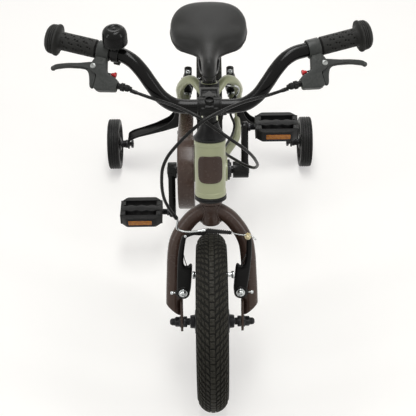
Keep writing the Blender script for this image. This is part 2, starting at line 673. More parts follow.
add_look("amber_lens", "C87A06", "A95F02", 0.22, coat=0.2, specular=0.35, patch_scale=260.0,
         patches=0.9, bump=0.9, depth=0.0006, pebble=520.0)
print("moulded finishes:", len(LOOKS) - 4)

# %% [markdown]
# ### Bare and blackened metal
# The bolts, washers, springs and cable parts are zinc plated: bright, a little blue-grey, with drawn marks
# that blur what they mirror. The front anchor bolt has the yellow chromate. Hubs, sprockets, axles and
# brackets are blackened steel, and the chain is dark with oil.

# %% Metal finishes
add_look("bright_steel", "C4C7C8", "B2B6B8", 0.24, metallic=1.0, spread=0.2, bump=0.04,
         marks=(160.0, 900.0, 900.0), rubbed=0.2, rubbed_colour="D8DADA")
add_look("dull_steel", "8E908F", "7C7E7E", 0.42, metallic=1.0, spread=0.2, bump=0.06,
         marks=(160.0, 900.0, 900.0))
add_look("yellow_zinc", "C9BE9F", "BDAF88", 0.28, metallic=1.0, spread=0.2, bump=0.05,
         marks=(1500.0, 260.0, 1500.0))
add_look("black_steel", "17171A", "202022", 0.36, metallic=0.55, specular=0.3, grain=1400.0,
         bump=0.25, rubbed=0.45, rubbed_colour="77777A", dust=0.018)
add_look("oiled_steel", "3A3632", "2A2725", 0.34, metallic=0.85, patches=0.9, patch_scale=120.0,
         grain=1500.0, bump=0.3, rubbed=0.5, rubbed_colour="8F8B84")
print("all finishes:", ", ".join(LOOKS))

# %% [markdown]
# # The frame
# ## Head tube, main tubes and their welds
# The frame is welded from round steel tube. The head tube is the short fat one that the fork turns in. The
# top tube and the fatter down tube leave it backwards, and the seat tube joins them. Each could be a plain
# cylinder pushed into the next one, but the eye looks for the cut line and the weld, so the tubes are mitred
# to each other exactly and every joint gets its bead.

# %% Head tube and main tubes
HEAD_RADIUS = 0.0255
SEAT_RADIUS = 0.016
head_profile = mm((213.2, 16.2), (213.2, 25.2), (213.6, 25.7), (220.5, 25.7), (221.3, 25), (299.8, 25),
                  (300.6, 25.7), (307.4, 25.7), (307.8, 25.2), (307.8, 16.2))
add_piece("head_tube_shell", [hollow(head_profile, *STEERER, 96)], "sage_paint",
          "frame", ["head_tube"])

cup_profile = mm((205.4, 14), (205.4, 25.5), (206.2, 26.4), (208, 26.4), (208.6, 25.7), (209.8, 25.7),
                 (210.4, 26.4), (212, 26.4), (212.6, 25.7), (212.6, 14))
add_piece("lower_headset_ring", [hollow(cup_profile, *STEERER, 96)], "black_plastic",
          "frame", ["lower_headset_cup"])

head_surface = (*STEERER, HEAD_RADIUS - 0.0004)
shell_surface = (SHELL, X, 0.023)
seat_surface = (SHELL, SEAT_UP, SEAT_RADIUS)
down_tube, down_welds = mitred_tube(steer_point(0, 0.246), SHELL, 0.019, head_surface, shell_surface)
top_tube, top_welds = mitred_tube(steer_point(0, 0.286), seat_point(0.14), 0.015, head_surface, seat_surface)
add_piece("down_tube_round", [down_tube], "sage_paint", "frame", ["down_tube"])
add_piece("top_tube_round", [top_tube], "sage_paint", "frame", ["top_tube"])
print("saddle curves:", [len(curve) for curve in down_welds + top_welds])

# %% [markdown]
# ## Seat tube, bottom bracket shell and seat clamp
# The seat tube stands on the bottom bracket shell and is open at its top, where the seat post slides in. A
# steel clamp with two ears squeezes it shut. The shell is a short tube across the bike with a bearing cup
# and a notched lock ring in its left end.

# %% Seat tube, shell and clamp
seat_ring = round_ring(X, SEAT_FORWARD, 56)
seat_side = SHELL + seat_ring * SEAT_RADIUS
foot = reach_of_tube(seat_side, SEAT_UP, *shell_surface)[:, None] - 0.0015
seat_rings = [seat_side + SEAT_UP * (foot * (1 - share) + 0.1796 * share) for share in np.linspace(0.0, 1.0, 8)]
seat_rings += [seat_point(height) + seat_ring * radius
               for height, radius in mm((180.2, 15.6), (180.4, 15), (180.4, 13.8), (169, 13.2))]
seat_weld = seat_side + SEAT_UP * (foot + 0.0015)
add_piece("seat_tube_round", [solid_of(seat_rings)], "sage_paint", "frame", ["seat_tube"])

shell_profile = mm((-34, 16.5), (-34, 22.4), (-33.4, 23), (33.4, 23), (34, 22.4), (34, 16.5))
add_piece("shell_round", [hollow(shell_profile, SHELL, X, 72)], "sage_paint", "frame",
          ["bottom_bracket_shell"])
notches = -0.1 * (np.cos(6 * circle_angles(72)) > 0.8)
lock_rows = np.column_stack([mm((34.2, 19.5), (35, 20.5), (38.2, 20.5), (39, 19.5), (39, 12), (34.2, 12)),
                             (1, 1, 1, 1, 0, 0)])
lock_ring = turned(lock_rows, notches, SHELL, X, True, (Y, Z))
cup = hollow(mm((33, 9.5), (33, 15), (41.2, 15), (41.8, 14.3), (41.8, 9.5)),
            SHELL, X, 48)
add_piece("bottom_bracket_cup", [lock_ring, cup], "black_steel", "frame")

clamp_ring = sleeve(0.1672, 0.1803, 0.0163, 0.0198, 0.0012, SHELL, SEAT_UP, 64)
ears = [plate(eased(mm((168.5, 18.5), (168.5, 28), (174, 30.8), (179.5, 28), (179.5, 18.5)), 0.003),
              SHELL + X * x, SEAT_UP, SEAT_FORWARD, X * 0.0036, 0.0006)
        for x in (-0.0052, 0.0016)]
ear_bolt = seat_point(0.174) + SEAT_FORWARD * 0.0255
add_piece("seat_clamp_band", [clamp_ring] + ears, "black_satin", "frame", ["seat_clamp"])
add_piece("seat_clamp_bolt", [bolt_head(ear_bolt + X * 0.0052, X, 0.0042, 0.004),
                              screw(ear_bolt - X * 0.01, X, 0.0024, 0.015),
                              nut(ear_bolt - X * 0.0052, -X, 0.0042, 0.0032, 0.0022)], "bright_steel", "frame")
print("seat clamp bolt at", np.round(ear_bolt, 3))

# %% [markdown]
# ## Stays, dropouts and brake bosses
# Two thin tubes on each side hold the rear wheel. The chain stay swings outwards round the tyre, further on
# the left because the right one has the guard beside it. Both end on the dropout, a cut plate with a slot
# that is open to the rear, so the wheel can be pulled back to tighten the chain. The stays taper a little at
# the plate, and a stud for the brake arm stands on each seat stay.

# %% Rear triangle
STAY_RADIUS = 0.0085
REAR_BRAKE_UP = unit([0.0, -0.51, 0.86])
REAR_BRAKE_BACK = unit([0.0, 0.86, 0.51])
BRAKE_HALF_WIDTH = 0.048

def rear_brake_point(x, up, outward=0.0):
    """A place near the rear brake, from the height of its pivots and the middle of its arms."""
    return in_axes(REAR_AXLE + REAR_BRAKE_UP * 0.064 + REAR_BRAKE_BACK * 0.0188,
                   (X, REAR_BRAKE_UP, REAR_BRAKE_BACK), x, up, outward)

def front_brake_point(x, up, forward=0.0):
    """A place near the front brake, from the height of its pivots and the middle of its arms."""
    return steer_point(x, 0.054 + np.asarray(up), 0.042 + np.asarray(forward))

CHAIN_STAY_FRONT = mm((19, 84, 174), (21, 100, 171), (30, 130, 167), (43, 160, 164))
CHAIN_STAY_REAR = {"left": mm((54.5, 190, 161), (58, 220, 159), (58.5, 242, 158), (58.5, 257, 157)),
                   "right": mm((50.5, 190, 161), (51.8, 220, 159), (51.9, 242, 158), (53, 257, 157))}
SEAT_STAY = mm((6, 131, 313), (12, 138.5, 318.5), (20, 147.5, 325), (31, 161, 331), (44, 177, 320),
               (53, 191.5, 301), (59, 210, 276), (59.7, 241, 236), (59.7, 279, 179.5))
plate_outline = np.concatenate([
    eased(mm((300, 138), (276, 141), (250, 150), (250, 165), (271.6, 173.8), (287.2, 183.8), (304, 173),
             (311.5, 161.5)), 0.004, closed=False),
    [(0.3115, 0.1593)], arc((0.295, 0.154), 0.0053, 90.0, 270.0, 13), [(0.3115, 0.1487), (0.31, 0.144)]])
frame_welds = down_welds + top_welds + [seat_weld]

def stay(knots, side, stations, end_size):
    """The path of a thin tube on one side, and the tube, which tapers over its last few stations."""
    path = smooth_path(knots * (side, 1.0, 1.0), 0.004)
    last = len(path) - 1
    size = np.interp(np.arange(len(path)), [0, last - stations, last], [1.0, 1.0, end_size])
    return path, tube(path, STAY_RADIUS * size, 32, rounded=True)

for name, side in SIDES.items():
    path, chain_stay = stay(np.concatenate([CHAIN_STAY_FRONT, CHAIN_STAY_REAR[name]]), side, 8, 0.84)
    dropout = plate(plate_outline, X * 0.0551 * side, Y, Z, X * side * 0.0034, 0.0006)
    add_piece("chain_stay_tube_" + name, [chain_stay, dropout], "sage_paint", "frame", ["chain_stay_" + name])
    frame_welds.append(mitred_tube(path[1], path[8], STAY_RADIUS, shell_surface, sides=40)[1][0])
    path, seat_stay = stay(SEAT_STAY, side, 7, 0.8)
    boss = lathe(mm((-22, 6.4), (-7.8, 6.4), (-7, 5.6), (-6.4, 5.6)),
                 rear_brake_point(side * BRAKE_HALF_WIDTH, 0.0), REAR_BRAKE_BACK, 40)
    add_piece("seat_stay_tube_" + name, [seat_stay, boss], "sage_paint", "frame", ["seat_stay_" + name])
    frame_welds.append(mitred_tube(path[0], path[7], STAY_RADIUS, seat_surface, sides=40)[1][0])
add_piece("frame_welds", [weld(curve) for curve in frame_welds], "sage_paint", "frame")
print("weld beads on the frame:", len(frame_welds))

# %% [markdown]
# ## The badge
# A curved plate as wide as it is tall sits on the front of the head tube. On this bike it is left bare and
# lacquered brown. It is a grid round its own middle: the rings are a square with round corners at growing
# sizes, bent onto the tube by turning the sideways distance into an angle.

# %% Bare badge
BADGE_MIDDLE = 0.263
BADGE_HALF = 0.0222
BADGE_HEIGHT_SHARE = 1.035
corner_angle = circle_angles(96)
BLUNT = 4.5
square_radius = (np.abs(np.cos(corner_angle))**BLUNT + np.abs(np.sin(corner_angle))**BLUNT) ** (-1.0 / BLUNT)
badge_rings = []
for size, lift in ((1.0, -0.0006), (1.0, 0.0006), (0.985, 0.001), (0.955, 0.0012), (0.92, 0.0012), (0.905, 0.0009),
                   (0.88, 0.0008), (0.6, 0.0008), (0.3, 0.0008), (0.02, 0.0008)):
    reach = BADGE_HALF * size * square_radius
    bend = reach * np.cos(corner_angle) / HEAD_RADIUS
    lifted = HEAD_RADIUS + lift - 0.0004
    height = BADGE_MIDDLE + BADGE_HEIGHT_SHARE * reach * np.sin(corner_angle)
    badge_rings.append(steer_point(lifted * np.sin(bend), height, lifted * np.cos(bend)))
add_piece("bare_badge", [solid_of(badge_rings)], "brown_paint", "frame")
print("badge: %.1f mm across its arc" % (2000 * BADGE_HALF))

# %% [markdown]
# ## Chain guard
# The guard is a shallow painted box. Its side view is round at the front and narrows to a straight rear edge,
# its rims are rolled over, and the flat face has a shallow pressed panel. Every ring of the shape is that
# outline at another inset and depth, so the face, rims, wall and lining are one closed skin. At the rear edge
# the wall is left out, because the chain passes there.

# %% Chain guard
GUARD_OUTER = -0.0635
GUARD_INNER = -0.0334
GUARD_RADIUS = 0.077
bb_y, bb_z = SHELL[1:]
front_part = arc((bb_y, bb_z), GUARD_RADIUS, 80.0, 276.0, 61)
lower = np.linspace(front_part[-1], (0.233, 0.112), 14)[1:-1]
upper = np.linspace((0.233, 0.206), front_part[0], 14)[1:-1]
rear_corner_low = eased(mm((226, 111.4), (240, 112), (240, 130)), 0.008, 9, closed=False)[1:-1]
rear_corner_high = eased(mm((240, 188), (240, 206), (226, 207)), 0.008, 9, closed=False)[1:-1]
rear_edge = np.linspace((0.24, 0.125), (0.24, 0.193), 22)
guard_outline = np.concatenate([front_part, lower, rear_corner_low, rear_edge, rear_corner_high, upper])
at_rear = (guard_outline[:, 0] > 0.2385) & (guard_outline[:, 1] > 0.117) & (guard_outline[:, 1] < 0.201)
wall_end = np.where(at_rear, -0.0606, GUARD_INNER)
bearing = np.arctan2(guard_outline[:, 1] - bb_z, guard_outline[:, 0] - bb_y)

def guard_ring(x, inset):
    """The outline moved in by an inset, at a depth that may change round it."""
    flat = moved_in(guard_outline, inset * tight_corners(guard_outline, max(inset, 1e-6))[:, None])
    return np.column_stack([np.broadcast_to(x, len(flat)), flat])

def hole_ring(x, radius):
    """The round hole about the crank's axle, with a point at the bearing of each outline point."""
    flat = np.column_stack([bb_y + radius * np.cos(bearing), bb_z + radius * np.sin(bearing)])
    return np.column_stack([np.full(len(flat), x), flat])

guard_rings = [guard_ring(wall_end + lift, inset)
               for lift, inset in mm((0.2, 2.2), (0, 1.8), (0, 0.4), (-0.4, 0))]
guard_rings += [ring(GUARD_OUTER + depth / 1000, size / 1000) for ring, depth, size in (
    (guard_ring, 4, 0), (guard_ring, 2.4, 0.3), (guard_ring, 1.2, 1), (guard_ring, 0.3, 2.4), (guard_ring, 0, 4.2),
    (guard_ring, 0, 8.5), (guard_ring, 0.3, 9.5), (guard_ring, 0.9, 10.5), (guard_ring, 1.2, 12),
    (hole_ring, 1.2, 28.5), (hole_ring, 1, 27.5), (hole_ring, 0, 26.2), (hole_ring, 0, 12.6),
    (hole_ring, 0.4, 12.1), (hole_ring, 2.2, 12.1), (guard_ring, 2.2, 4), (guard_ring, 3.2, 2.4))]
add_piece("chain_guard_shell", [solid_of(guard_rings, closed=True)], "brown_paint", "frame",
          ["chain_guard_outer"])
guard_screws = [bolt_head(np.array([GUARD_OUTER + 0.001, y, z]), -X, 0.0042, 0.0022, 0.45)
                for y, z in ((0.118, 0.236), (0.115, 0.123), (0.223, 0.16))]
add_piece("chain_guard_screws", guard_screws, "black_steel", "frame")
for node_name, finish in (("chain_guard_inner", "brown_paint"), ("chainring", "black_steel"),
                          ("rear_sprocket", "black_steel")):
    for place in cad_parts[node_name].material_slots:
        place.material = LOOKS[finish]
print("guard outline has", len(guard_outline), "points")

# %% [markdown]
# ## Chain
# Inside the guard runs a half-inch chain of pins, rollers and figure-of-eight plates. The loop is two arcs and
# two straight runs. Every link is the same small solid turned to the loop's direction, so all of them are
# made in one array and stay a few dozen faces each.

# %% Chain links
CHAIN_PLANE = -0.0463
CHAIN_PITCH = 0.0127

def chain_loop():
    """Points and directions at every pitch of the loop round both sprockets, in the plane of the chain."""
    big, small = (teeth * CHAIN_PITCH / (2 * math.pi) for teeth in (28, 14))
    span = (REAR_AXLE - SHELL)[1:]
    lean = math.degrees(math.atan2(span[1], span[0]))
    wrap = math.degrees(math.asin((big - small) / np.linalg.norm(span)))
    front = arc(SHELL[1:], big, 90 + lean - wrap, 270 + lean + wrap, 90)
    back = arc(REAR_AXLE[1:], small, -90 + lean + wrap, 90 + lean - wrap, 60)
    loop = np.concatenate([front, back, front[:1]])
    length = run_of(loop)[-1]
    count = 2 * int(round(length / CHAIN_PITCH / 2))
    places = points_at(loop, np.linspace(0.0, length, count, endpoint=False))
    return places, unit(np.roll(places, -1, axis=0) - places)

places, headings = chain_loop()
lobe = 0.004
link_outline = np.concatenate([arc((0.0, 0.0), lobe, 50.0, 310.0, 7), [(CHAIN_PITCH / 2, -0.0026)],
                               arc((CHAIN_PITCH, 0.0), lobe, -130.0, 130.0, 7), [(CHAIN_PITCH / 2, 0.0026)]])
level = np.where(np.arange(len(places)) % 2 == 0, 0.0029, 0.004)
left_of = np.column_stack([-headings[:, 1], headings[:, 0]])
flat = places[:, None] + headings[:, None] * link_outline[:, :1] + left_of[:, None] * link_outline[:, 1:]
chain_parts = []
for sign in (-1.0, 1.0):
    inner = CHAIN_PLANE + sign * (level - 0.0009)
    outer = CHAIN_PLANE + sign * level
    rings = [np.concatenate([np.broadcast_to(x[:, None, None], flat.shape[:2] + (1,)), flat], axis=-1)
             for x in (inner, outer)]
    chain_parts.append(many_solids(np.stack(rings, axis=1)))
pins = np.column_stack([np.full(len(places), CHAIN_PLANE), places])
chain_parts.append(rods(pins - X * 0.0041, pins + X * 0.0041, 0.0018, 8))
chain_parts.append(rods(pins - X * 0.0018, pins + X * 0.0018, 0.0038, 10))
add_piece("chain_links", chain_parts, "oiled_steel", "frame", ["chain"])
print("chain links:", len(places))

# %% [markdown]
# # The wheels
# ## Tyres
# A tyre is a ring with a nearly round section that is open at the rim. Its tread is a centre row of blocks
# and four rows of slanted bars on each side, which together make a V that points down at the front. The
# tread could be a bump pattern, but its blocks show against the white background, so they are real. Each is
# a small tapered block of 18 faces that follows the tyre's curve, and all of them are made in one array. The
# tyre under them is a piece of its own, because the ground between the blocks is darker.

# %% Tyre shape
TYRE_CORE = 0.127
CARCASS = 0.0245
TREAD_TOP = 0.0264
BLOCKS_AROUND = 78
PITCH_ANGLE = 2 * math.pi / BLOCKS_AROUND

def on_tyre(axle, around, across, height):
    """axle + (core + h cos c) (0, -cos a, -sin a) + h sin c X, with a around the wheel, c across the tread."""
    around, across, height = np.broadcast_arrays(around, across, height)
    radius = TYRE_CORE + height * np.cos(across)
    return axle + np.stack([height * np.sin(across), -radius * np.cos(around), -radius * np.sin(around)], axis=-1)

def carcass_of(axle):
    """The tyre under its tread: a section whose radius swells at the side walls, carried round the axle."""
    section = np.radians(np.linspace(-126.0, 126.0, 91))
    turn_of = np.abs(np.degrees(section))
    wall = CARCASS + 0.0017 * np.clip((turn_of - 70.0) / 6.0, 0.0, 1.0)
    lines = 0.0004 * (np.exp(-((turn_of - 82.0) / 1.5) ** 2) + np.exp(-((turn_of - 112.0) / 1.8) ** 2)
                      + 0.6 * np.exp(-((turn_of - 97.0) / 1.0) ** 2))
    height = wall + lines
    profile = np.column_stack([height * np.sin(section), TYRE_CORE + height * np.cos(section)])
    bead = mm((15.8, 106.2), (13.8, 104.6), (12.8, 103.8), (-12.8, 103.8), (-13.8, 104.6), (-15.8, 106.2))
    return hollow(np.concatenate([profile, bead]), axle, X, 144)

# Each row of the tread: its middle and half width across in degrees, its share of the pitch, the shift of its
# start in pitches, how far its sides lean across over its length in degrees, and how far its ends lean.
TREAD_ROWS = [(0.0, 8.2, 0.78, 0.0, 0.0, 0.0),
              (18.6, 5.5, 0.7, 0.5, 4.6, 0.3), (34.0, 5.0, 0.68, 0.05, 4.6, 0.34),
              (48.4, 4.6, 0.66, 0.58, 4.2, 0.34), (62.0, 4.2, 0.54, 0.12, 3.0, 0.25)]
CORNERS = np.array([(-1, -1), (0, -1), (1, -1), (1, 0), (1, 1), (0, 1), (-1, 1), (-1, 0)], float)

def tread_of(axle):
    """All blocks: corner (u, v) of a block is at around = start + u half length, across = middle + v half width."""
    parts = []
    for middle, half, share, shift, side_lean, end_lean in TREAD_ROWS:
        for sign in ((1.0,) if middle == 0.0 else (1.0, -1.0)):
            start = (np.arange(BLOCKS_AROUND) + shift)[:, None, None] * PITCH_ANGLE
            levels = []
            for grow, height in ((1.1, CARCASS - 0.0008), (1.0, TREAD_TOP - 0.0003), (0.88, TREAD_TOP)):
                u = CORNERS[None, None, :, 0] * grow
                v = CORNERS[None, None, :, 1] * grow
                across = middle + v * half - u * side_lean / 2
                around = start + PITCH_ANGLE * (u * share / 2 - v * end_lean / 2)
                levels.append(on_tyre(axle, around, np.radians(across) * sign, height))
            parts.append(many_solids(np.concatenate(levels, axis=1)))
    return parts

for name, axle in WHEELS.items():
    body = name + "_wheel"
    add_piece(name + "_tyre_carcass", [carcass_of(axle)], "tyre_groove", body, [name + "_tyre"], 30.0)
    add_piece(name + "_tyre_tread", tread_of(axle), "tyre_rubber", body, (), 30.0)
print("tread blocks on a tyre:", BLOCKS_AROUND * (2 * len(TREAD_ROWS) - 1))

# %% [markdown]
# ## Rims, hubs and spokes
# The rim is a black box section with a step for the brake track. The hub has a flange at each side with a
# hole for every spoke, and the spokes leave it at a slant and cross, so that they pull when the wheel turns.
# A nipple holds each one in the rim. The spokes are one array of twenty bars, and so are the nipples.

# %% Rims, hubs, spokes and valve
def mirrored(*rows):
    """A profile in millimetres, and its mirror image after it."""
    half = mm(*rows)
    return np.concatenate([half, half[half[:, 0] != 0.0][::-1] * (-1, 1)])

RIM_SECTION = mirrored((-13.5, 100), (-15, 102.8), (-16, 102), (-16, 91.5), (-15.2, 90), (-9.5, 86.4))
HUB_SECTION = mirrored((-37.8, 5.3), (-37.8, 10.4), (-37.2, 11), (-30.6, 11.8), (-30, 12.5), (-28.8, 20.5),
                       (-28.3, 21), (-25.8, 21), (-25.3, 20.5), (-24, 13.5), (-21, 11.7), (0, 11))
spoke_number = np.arange(20)
end_side = np.where(spoke_number % 2 == 1, 1.0, -1.0)
at_rim = np.radians(18.0 * spoke_number)
at_hub = at_rim + np.radians(np.where((spoke_number // 2) % 2 == 1, 38.0, -38.0))
foot = np.column_stack([end_side * 0.027, 0.0185 * np.cos(at_hub), 0.0185 * np.sin(at_hub)])
tip = np.column_stack([end_side * 0.004, 0.085 * np.cos(at_rim), 0.085 * np.sin(at_rim)])
inward = unit(foot - tip)
for name, axle in WHEELS.items():
    body = name + "_wheel"
    add_piece(name + "_rim_box", [hollow(eased(RIM_SECTION, 0.0006), axle, X, 120)], "black_gloss",
              body, [name + "_rim"])
    heads = rods(axle + foot - X * end_side[:, None] * 0.0022, axle + foot + X * end_side[:, None] * 0.0024,
                 0.0017, 8)
    add_piece(name + "_hub_body", [hollow(HUB_SECTION, axle, X, 64),
                                   rods(axle + foot, axle + tip, 0.001, 8), heads], "black_steel", body,
              [name + "_hub"])
    add_piece(name + "_spoke_nipples", [rods(axle + tip + inward * 0.011, axle + tip - inward * 0.001, 0.0018, 8)],
              "bright_steel", body)
    valve = lathe(mm((87, 4.6), (83.5, 4.6), (82.5, 3.6), (70, 3.2), (69.6, 4.2), (60, 4), (59, 3)),
                  axle, leaning(99.0)[0], 24)
    add_piece(name + "_valve", [valve], "grip_rubber", body)
print("spoke length %.0f mm" % (1000 * np.linalg.norm(foot[0] - tip[0])))

# %% [markdown]
# ## Axles
# A wheel turns on two cones screwed onto a threaded axle. Outside the fork end sits a washer and a six-sided
# nut, at the front with a domed cap. These pieces are blackened, and their shapes are turned profiles.

# %% Front and rear axles
def front_axle_half(side):
    """The pieces on one side of the front axle, from the cone outwards."""
    way = X * side
    cone = hollow(mm((38.3, 4.4), (38.3, 6), (39.2, 6.4), (40.4, 6), (41.6, 6.4), (43, 6), (43.2, 8.8), (44, 9.4),
                    (48.7, 9.4), (49.5, 8.6), (49.5, 4.4)), FRONT_AXLE, way, 48)
    ring = washer(FRONT_AXLE + way * 0.0543, way, 0.0044, 0.0098, 0.0016)
    cap = faceted([(0.056, 0.0044, 0), (0.056, 0.0084, 0), (0.0566, 0.0092, 1), (0.0628, 0.0092, 1),
                   (0.064, 0.007, 0), (0.0652, 0.0062, 0), (0.069, 0.006, 0), (0.0712, 0.005, 0),
                   (0.0726, 0.003, 0), (0.0729, 0.0006, 0)], FRONT_AXLE, way)
    return [cone, ring, cap]

def rear_axle_half(side):
    """The pieces on one side of the rear axle. Its nut holds the training wheel's bracket as well."""
    way = X * side
    cone = hollow(mm((38.6, 4.7), (38.6, 8), (44, 8.2), (44.6, 7), (47, 7), (47.6, 8.2), (54.5, 8.2),
                    (54.5, 4.7)), REAR_AXLE, way, 48)
    ring = washer(REAR_AXLE + way * 0.0588, way, 0.0048, 0.0092, 0.0014)
    outer_nut = nut(REAR_AXLE + way * 0.066, way, 0.0094, 0.0062, 0.0045)
    outer_ring = washer(REAR_AXLE + way * 0.0643, way, 0.0048, 0.0094, 0.0015)
    end = screw(REAR_AXLE + way * 0.056, way, 0.0047, 0.0208)
    return [cone, ring, outer_ring, outer_nut, end]

front_bar = lathe(mm((-56.5, 4.2), (56.5, 4.2)), FRONT_AXLE, X, 24)
rear_bar = lathe(mm((-56.2, 4.4), (56.2, 4.4)), REAR_AXLE, X, 24)
add_piece("front_axle_parts", [front_bar] + front_axle_half(1.0) + front_axle_half(-1.0), "black_steel",
          "fork_and_bar", ["front_axle"])
add_piece("rear_axle_parts", [rear_bar] + rear_axle_half(1.0) + rear_axle_half(-1.0), "black_steel", "frame",
          ["rear_axle"])
print("front axle is %.0f mm over its caps" % (2000 * 0.0729))

# %% [markdown]
# ## Training wheels
# Each training wheel hangs on a bracket pressed from sheet steel: a strap with a rib standing up along both
# edges, bolted to the rear axle at its top. The wheel itself is one moulding with a ribbed tread, a thin web
# stiffened by radial ribs, and a hub that turns on a bolt through the bracket's foot.

# %% Training wheel brackets
TRAINING_RADIUS = 0.057
TRAINING_WIDTH = 0.026
TRAINING_TRACK = 0.2025
BRACKET_ROUTE = mm((62.2, 172), (62.2, 150), (62.2, 134), (70, 122), (86, 115), (130, 101), (168, 88.5), (180, 81),
                   (184, 70), (184, 53))
BRACKET_RIB = mm((62.2, 172), (69, 172.5), (73.5, 160), (79, 143), (91, 128), (120, 111.5), (150, 99.5),
                 (172, 91.5), (183, 84), (185.6, 72), (183.6, 66.5), (179.6, 81), (168, 88), (130, 100.5),
                 (86, 114.5), (70, 121.5), (62.2, 134))

def training_bracket(side):
    """The strap with its two ribs, the foot's round end and the bolt that the wheel turns on."""
    path = smooth_path([(x * side, REAR_AXLE[1], z) for x, z in BRACKET_ROUTE], 0.004)
    narrowing = np.interp(np.arange(len(path)), [0, 3, len(path) - 5, len(path) - 1], [0.7, 1.0, 1.0, 0.55])
    strap = ribbon(path, rounded_box(0.0278, 0.0034, 0.001, 3), Y, narrowing)
    ribs = [plate(eased(BRACKET_RIB * (side, 1.0), 0.004, 3), REAR_AXLE * (0, 1, 0) + Y * y, X, Z,
                  Y * 0.0028, 0.0008) for y in (-0.0141, 0.0113)]
    return [strap] + ribs

def training_wheel(side):
    """The moulded wheel: tread with four grooves, rounded shoulders, a recessed web with ribs, and a hub."""
    centre = np.array([side * TRAINING_TRACK, REAR_AXLE[1] + 0.005, TRAINING_RADIUS])
    way = X * side
    wide = TRAINING_WIDTH
    top = TRAINING_RADIUS - 0.0004
    groove = []
    for middle in np.linspace(0.0052, wide - 0.0052, 4):
        groove += [(middle - 0.0012, top), (middle - 0.0006, top - 0.0015), (middle + 0.0006, top - 0.0015),
                   (middle + 0.0012, top)]
    profile = [(0.0, 0.0056), (0.0, 0.0152), (0.0008, 0.016), (0.0052, 0.0172), (0.0056, 0.019), (0.0056, 0.04),
               (0.0052, 0.0425), (0.0008, 0.0445), (0.0, 0.046), (0.0, top - 0.0034), (0.0008, top - 0.0012),
               (0.0028, top)]
    profile += groove
    profile += [(wide - x, r) for x, r in reversed(profile[:12])]
    wheel = hollow(profile, centre, way, 120)
    turn_at = circle_angles(8)
    spoke = np.column_stack([np.zeros(8), np.cos(turn_at), np.sin(turn_at)])
    beside = np.cross(way, spoke)
    foot_at = centre + spoke * 0.015
    tip_at = centre + spoke * 0.044
    half = 0.0011
    sets = []
    for low, high in ((0.0018, 0.007), (wide - 0.007, wide - 0.0018)):
        rings = [np.stack([end + beside * half + way * low, end - beside * half + way * low,
                           end - beside * half + way * high, end + beside * half + way * high], axis=1)
                 for end in (foot_at, tip_at)]
        sets.append(many_solids(np.stack(rings, axis=1)))
    return [wheel] + sets

for name, side in SIDES.items():
    add_piece("training_strap_" + name, training_bracket(side), "black_satin", "frame",
              ["training_bracket_" + name])
    centre = np.array([0.0, REAR_AXLE[1] + 0.005, TRAINING_RADIUS])
    way = X * side
    axle_parts = [lathe(mm((179, 5), (225.5, 5)), centre, way, 28),
                  nut(centre + way * 0.179, -way, 0.0095, 0.0052, 0.0048),
                  hollow(eased(mm((186.2, 5), (186.2, 9.2), (192, 9.2), (192.6, 8), (196.8, 8), (197.4, 9.2),
                                 (201, 9.2), (201, 5)), 0.0005), centre, way, 48),
                  nut(centre + way * 0.2287, way, 0.0078, 0.0022, 0.003)]
    add_piece("training_axle_" + name, axle_parts, "black_steel", "frame")
    add_piece("training_wheel_round_" + name, training_wheel(side), "black_plastic", name + "_training_wheel",
              ["training_wheel_" + name])
print("training wheels are %.0f mm across" % (2000 * TRAINING_RADIUS))

# %% [markdown]
# # Fork and handlebar
# ## Fork
# The fork is a short column with a fat tube on each side that bows out over the tyre and runs straight down.
# It could be bent from one tube, but here each leg is cut to the column and welded. The legs' lower ends are
# cut on a slant and closed, and a slotted plate is welded into each for the axle.

# %% Fork column and legs
column = mm((160.2, 10), (160.2, 13.8), (160.8, 14.8), (163.2, 16.3), (190, 16.3), (196, 16.5), (198.4, 19),
            (199, 19.5), (203.8, 19.5), (204.5, 18.8), (204.7, 12.8), (333.5, 12.6), (333.8, 12))
add_piece("fork_column", [lathe(column, *STEERER, 72)], "brown_paint", "fork_and_bar",
          ["fork_steerer"])

LEG_RADIUS = 0.013
FORK_SPREAD = 0.0498
LEG_ROUTE = mm((4, 187.5, 0), (16.5, 181.5, 0), (30, 172, 0), (42, 158, 0), (51.5, 143, 0), (58.5, 126, 1),
               (61.8, 105, 4), (63.5, 75, 9), (65.2, 35, 16.5), (65.8, 10.5, 21))
fork_plate_outline = np.concatenate([
    eased(mm((19.5, -23.5), (18, -16), (14, 4), (10, 30), (34, 30), (38, -2), (37, -18), (34.5, -25)), 0.004,
          closed=False),
    [(0.0328, -0.0272)], arc((0.0278, -0.0112), 0.005, 0.0, 180.0, 13), [(0.0228, -0.0272)]])

def fork_leg(side):
    """The leg: a tube whose last rings lean, so that its outer side ends higher, and close in a round."""
    knots = [steer_point(x * side, along, forward) for x, along, forward in LEG_ROUTE]
    path = smooth_path(knots, 0.004)
    ahead, across, other = path_directions(path)
    size = np.ones(len(path) + 3)
    size[-3:] = (0.955, 0.84, 0.55)
    push = np.concatenate([np.zeros(len(path)), [0.0008, 0.0018, 0.0026]])
    keep = np.minimum(np.arange(len(path) + 3), len(path) - 1)
    slant = 0.8 * np.clip((np.arange(len(path) + 3) - (len(path) - 4)) / 3.0, 0.0, 1.0)
    offset = LEG_RADIUS * size[:, None, None] * round_ring(across[keep], other[keep], 56)
    lean = slant[:, None] * offset[:, :, 0] * side - push[:, None]
    rings = path[keep][:, None] + offset - ahead[keep][:, None] * lean[:, :, None]
    return solid_of(rings), mitred_tube(path[2], path[10], LEG_RADIUS, (*STEERER, 0.0164))[1][0]

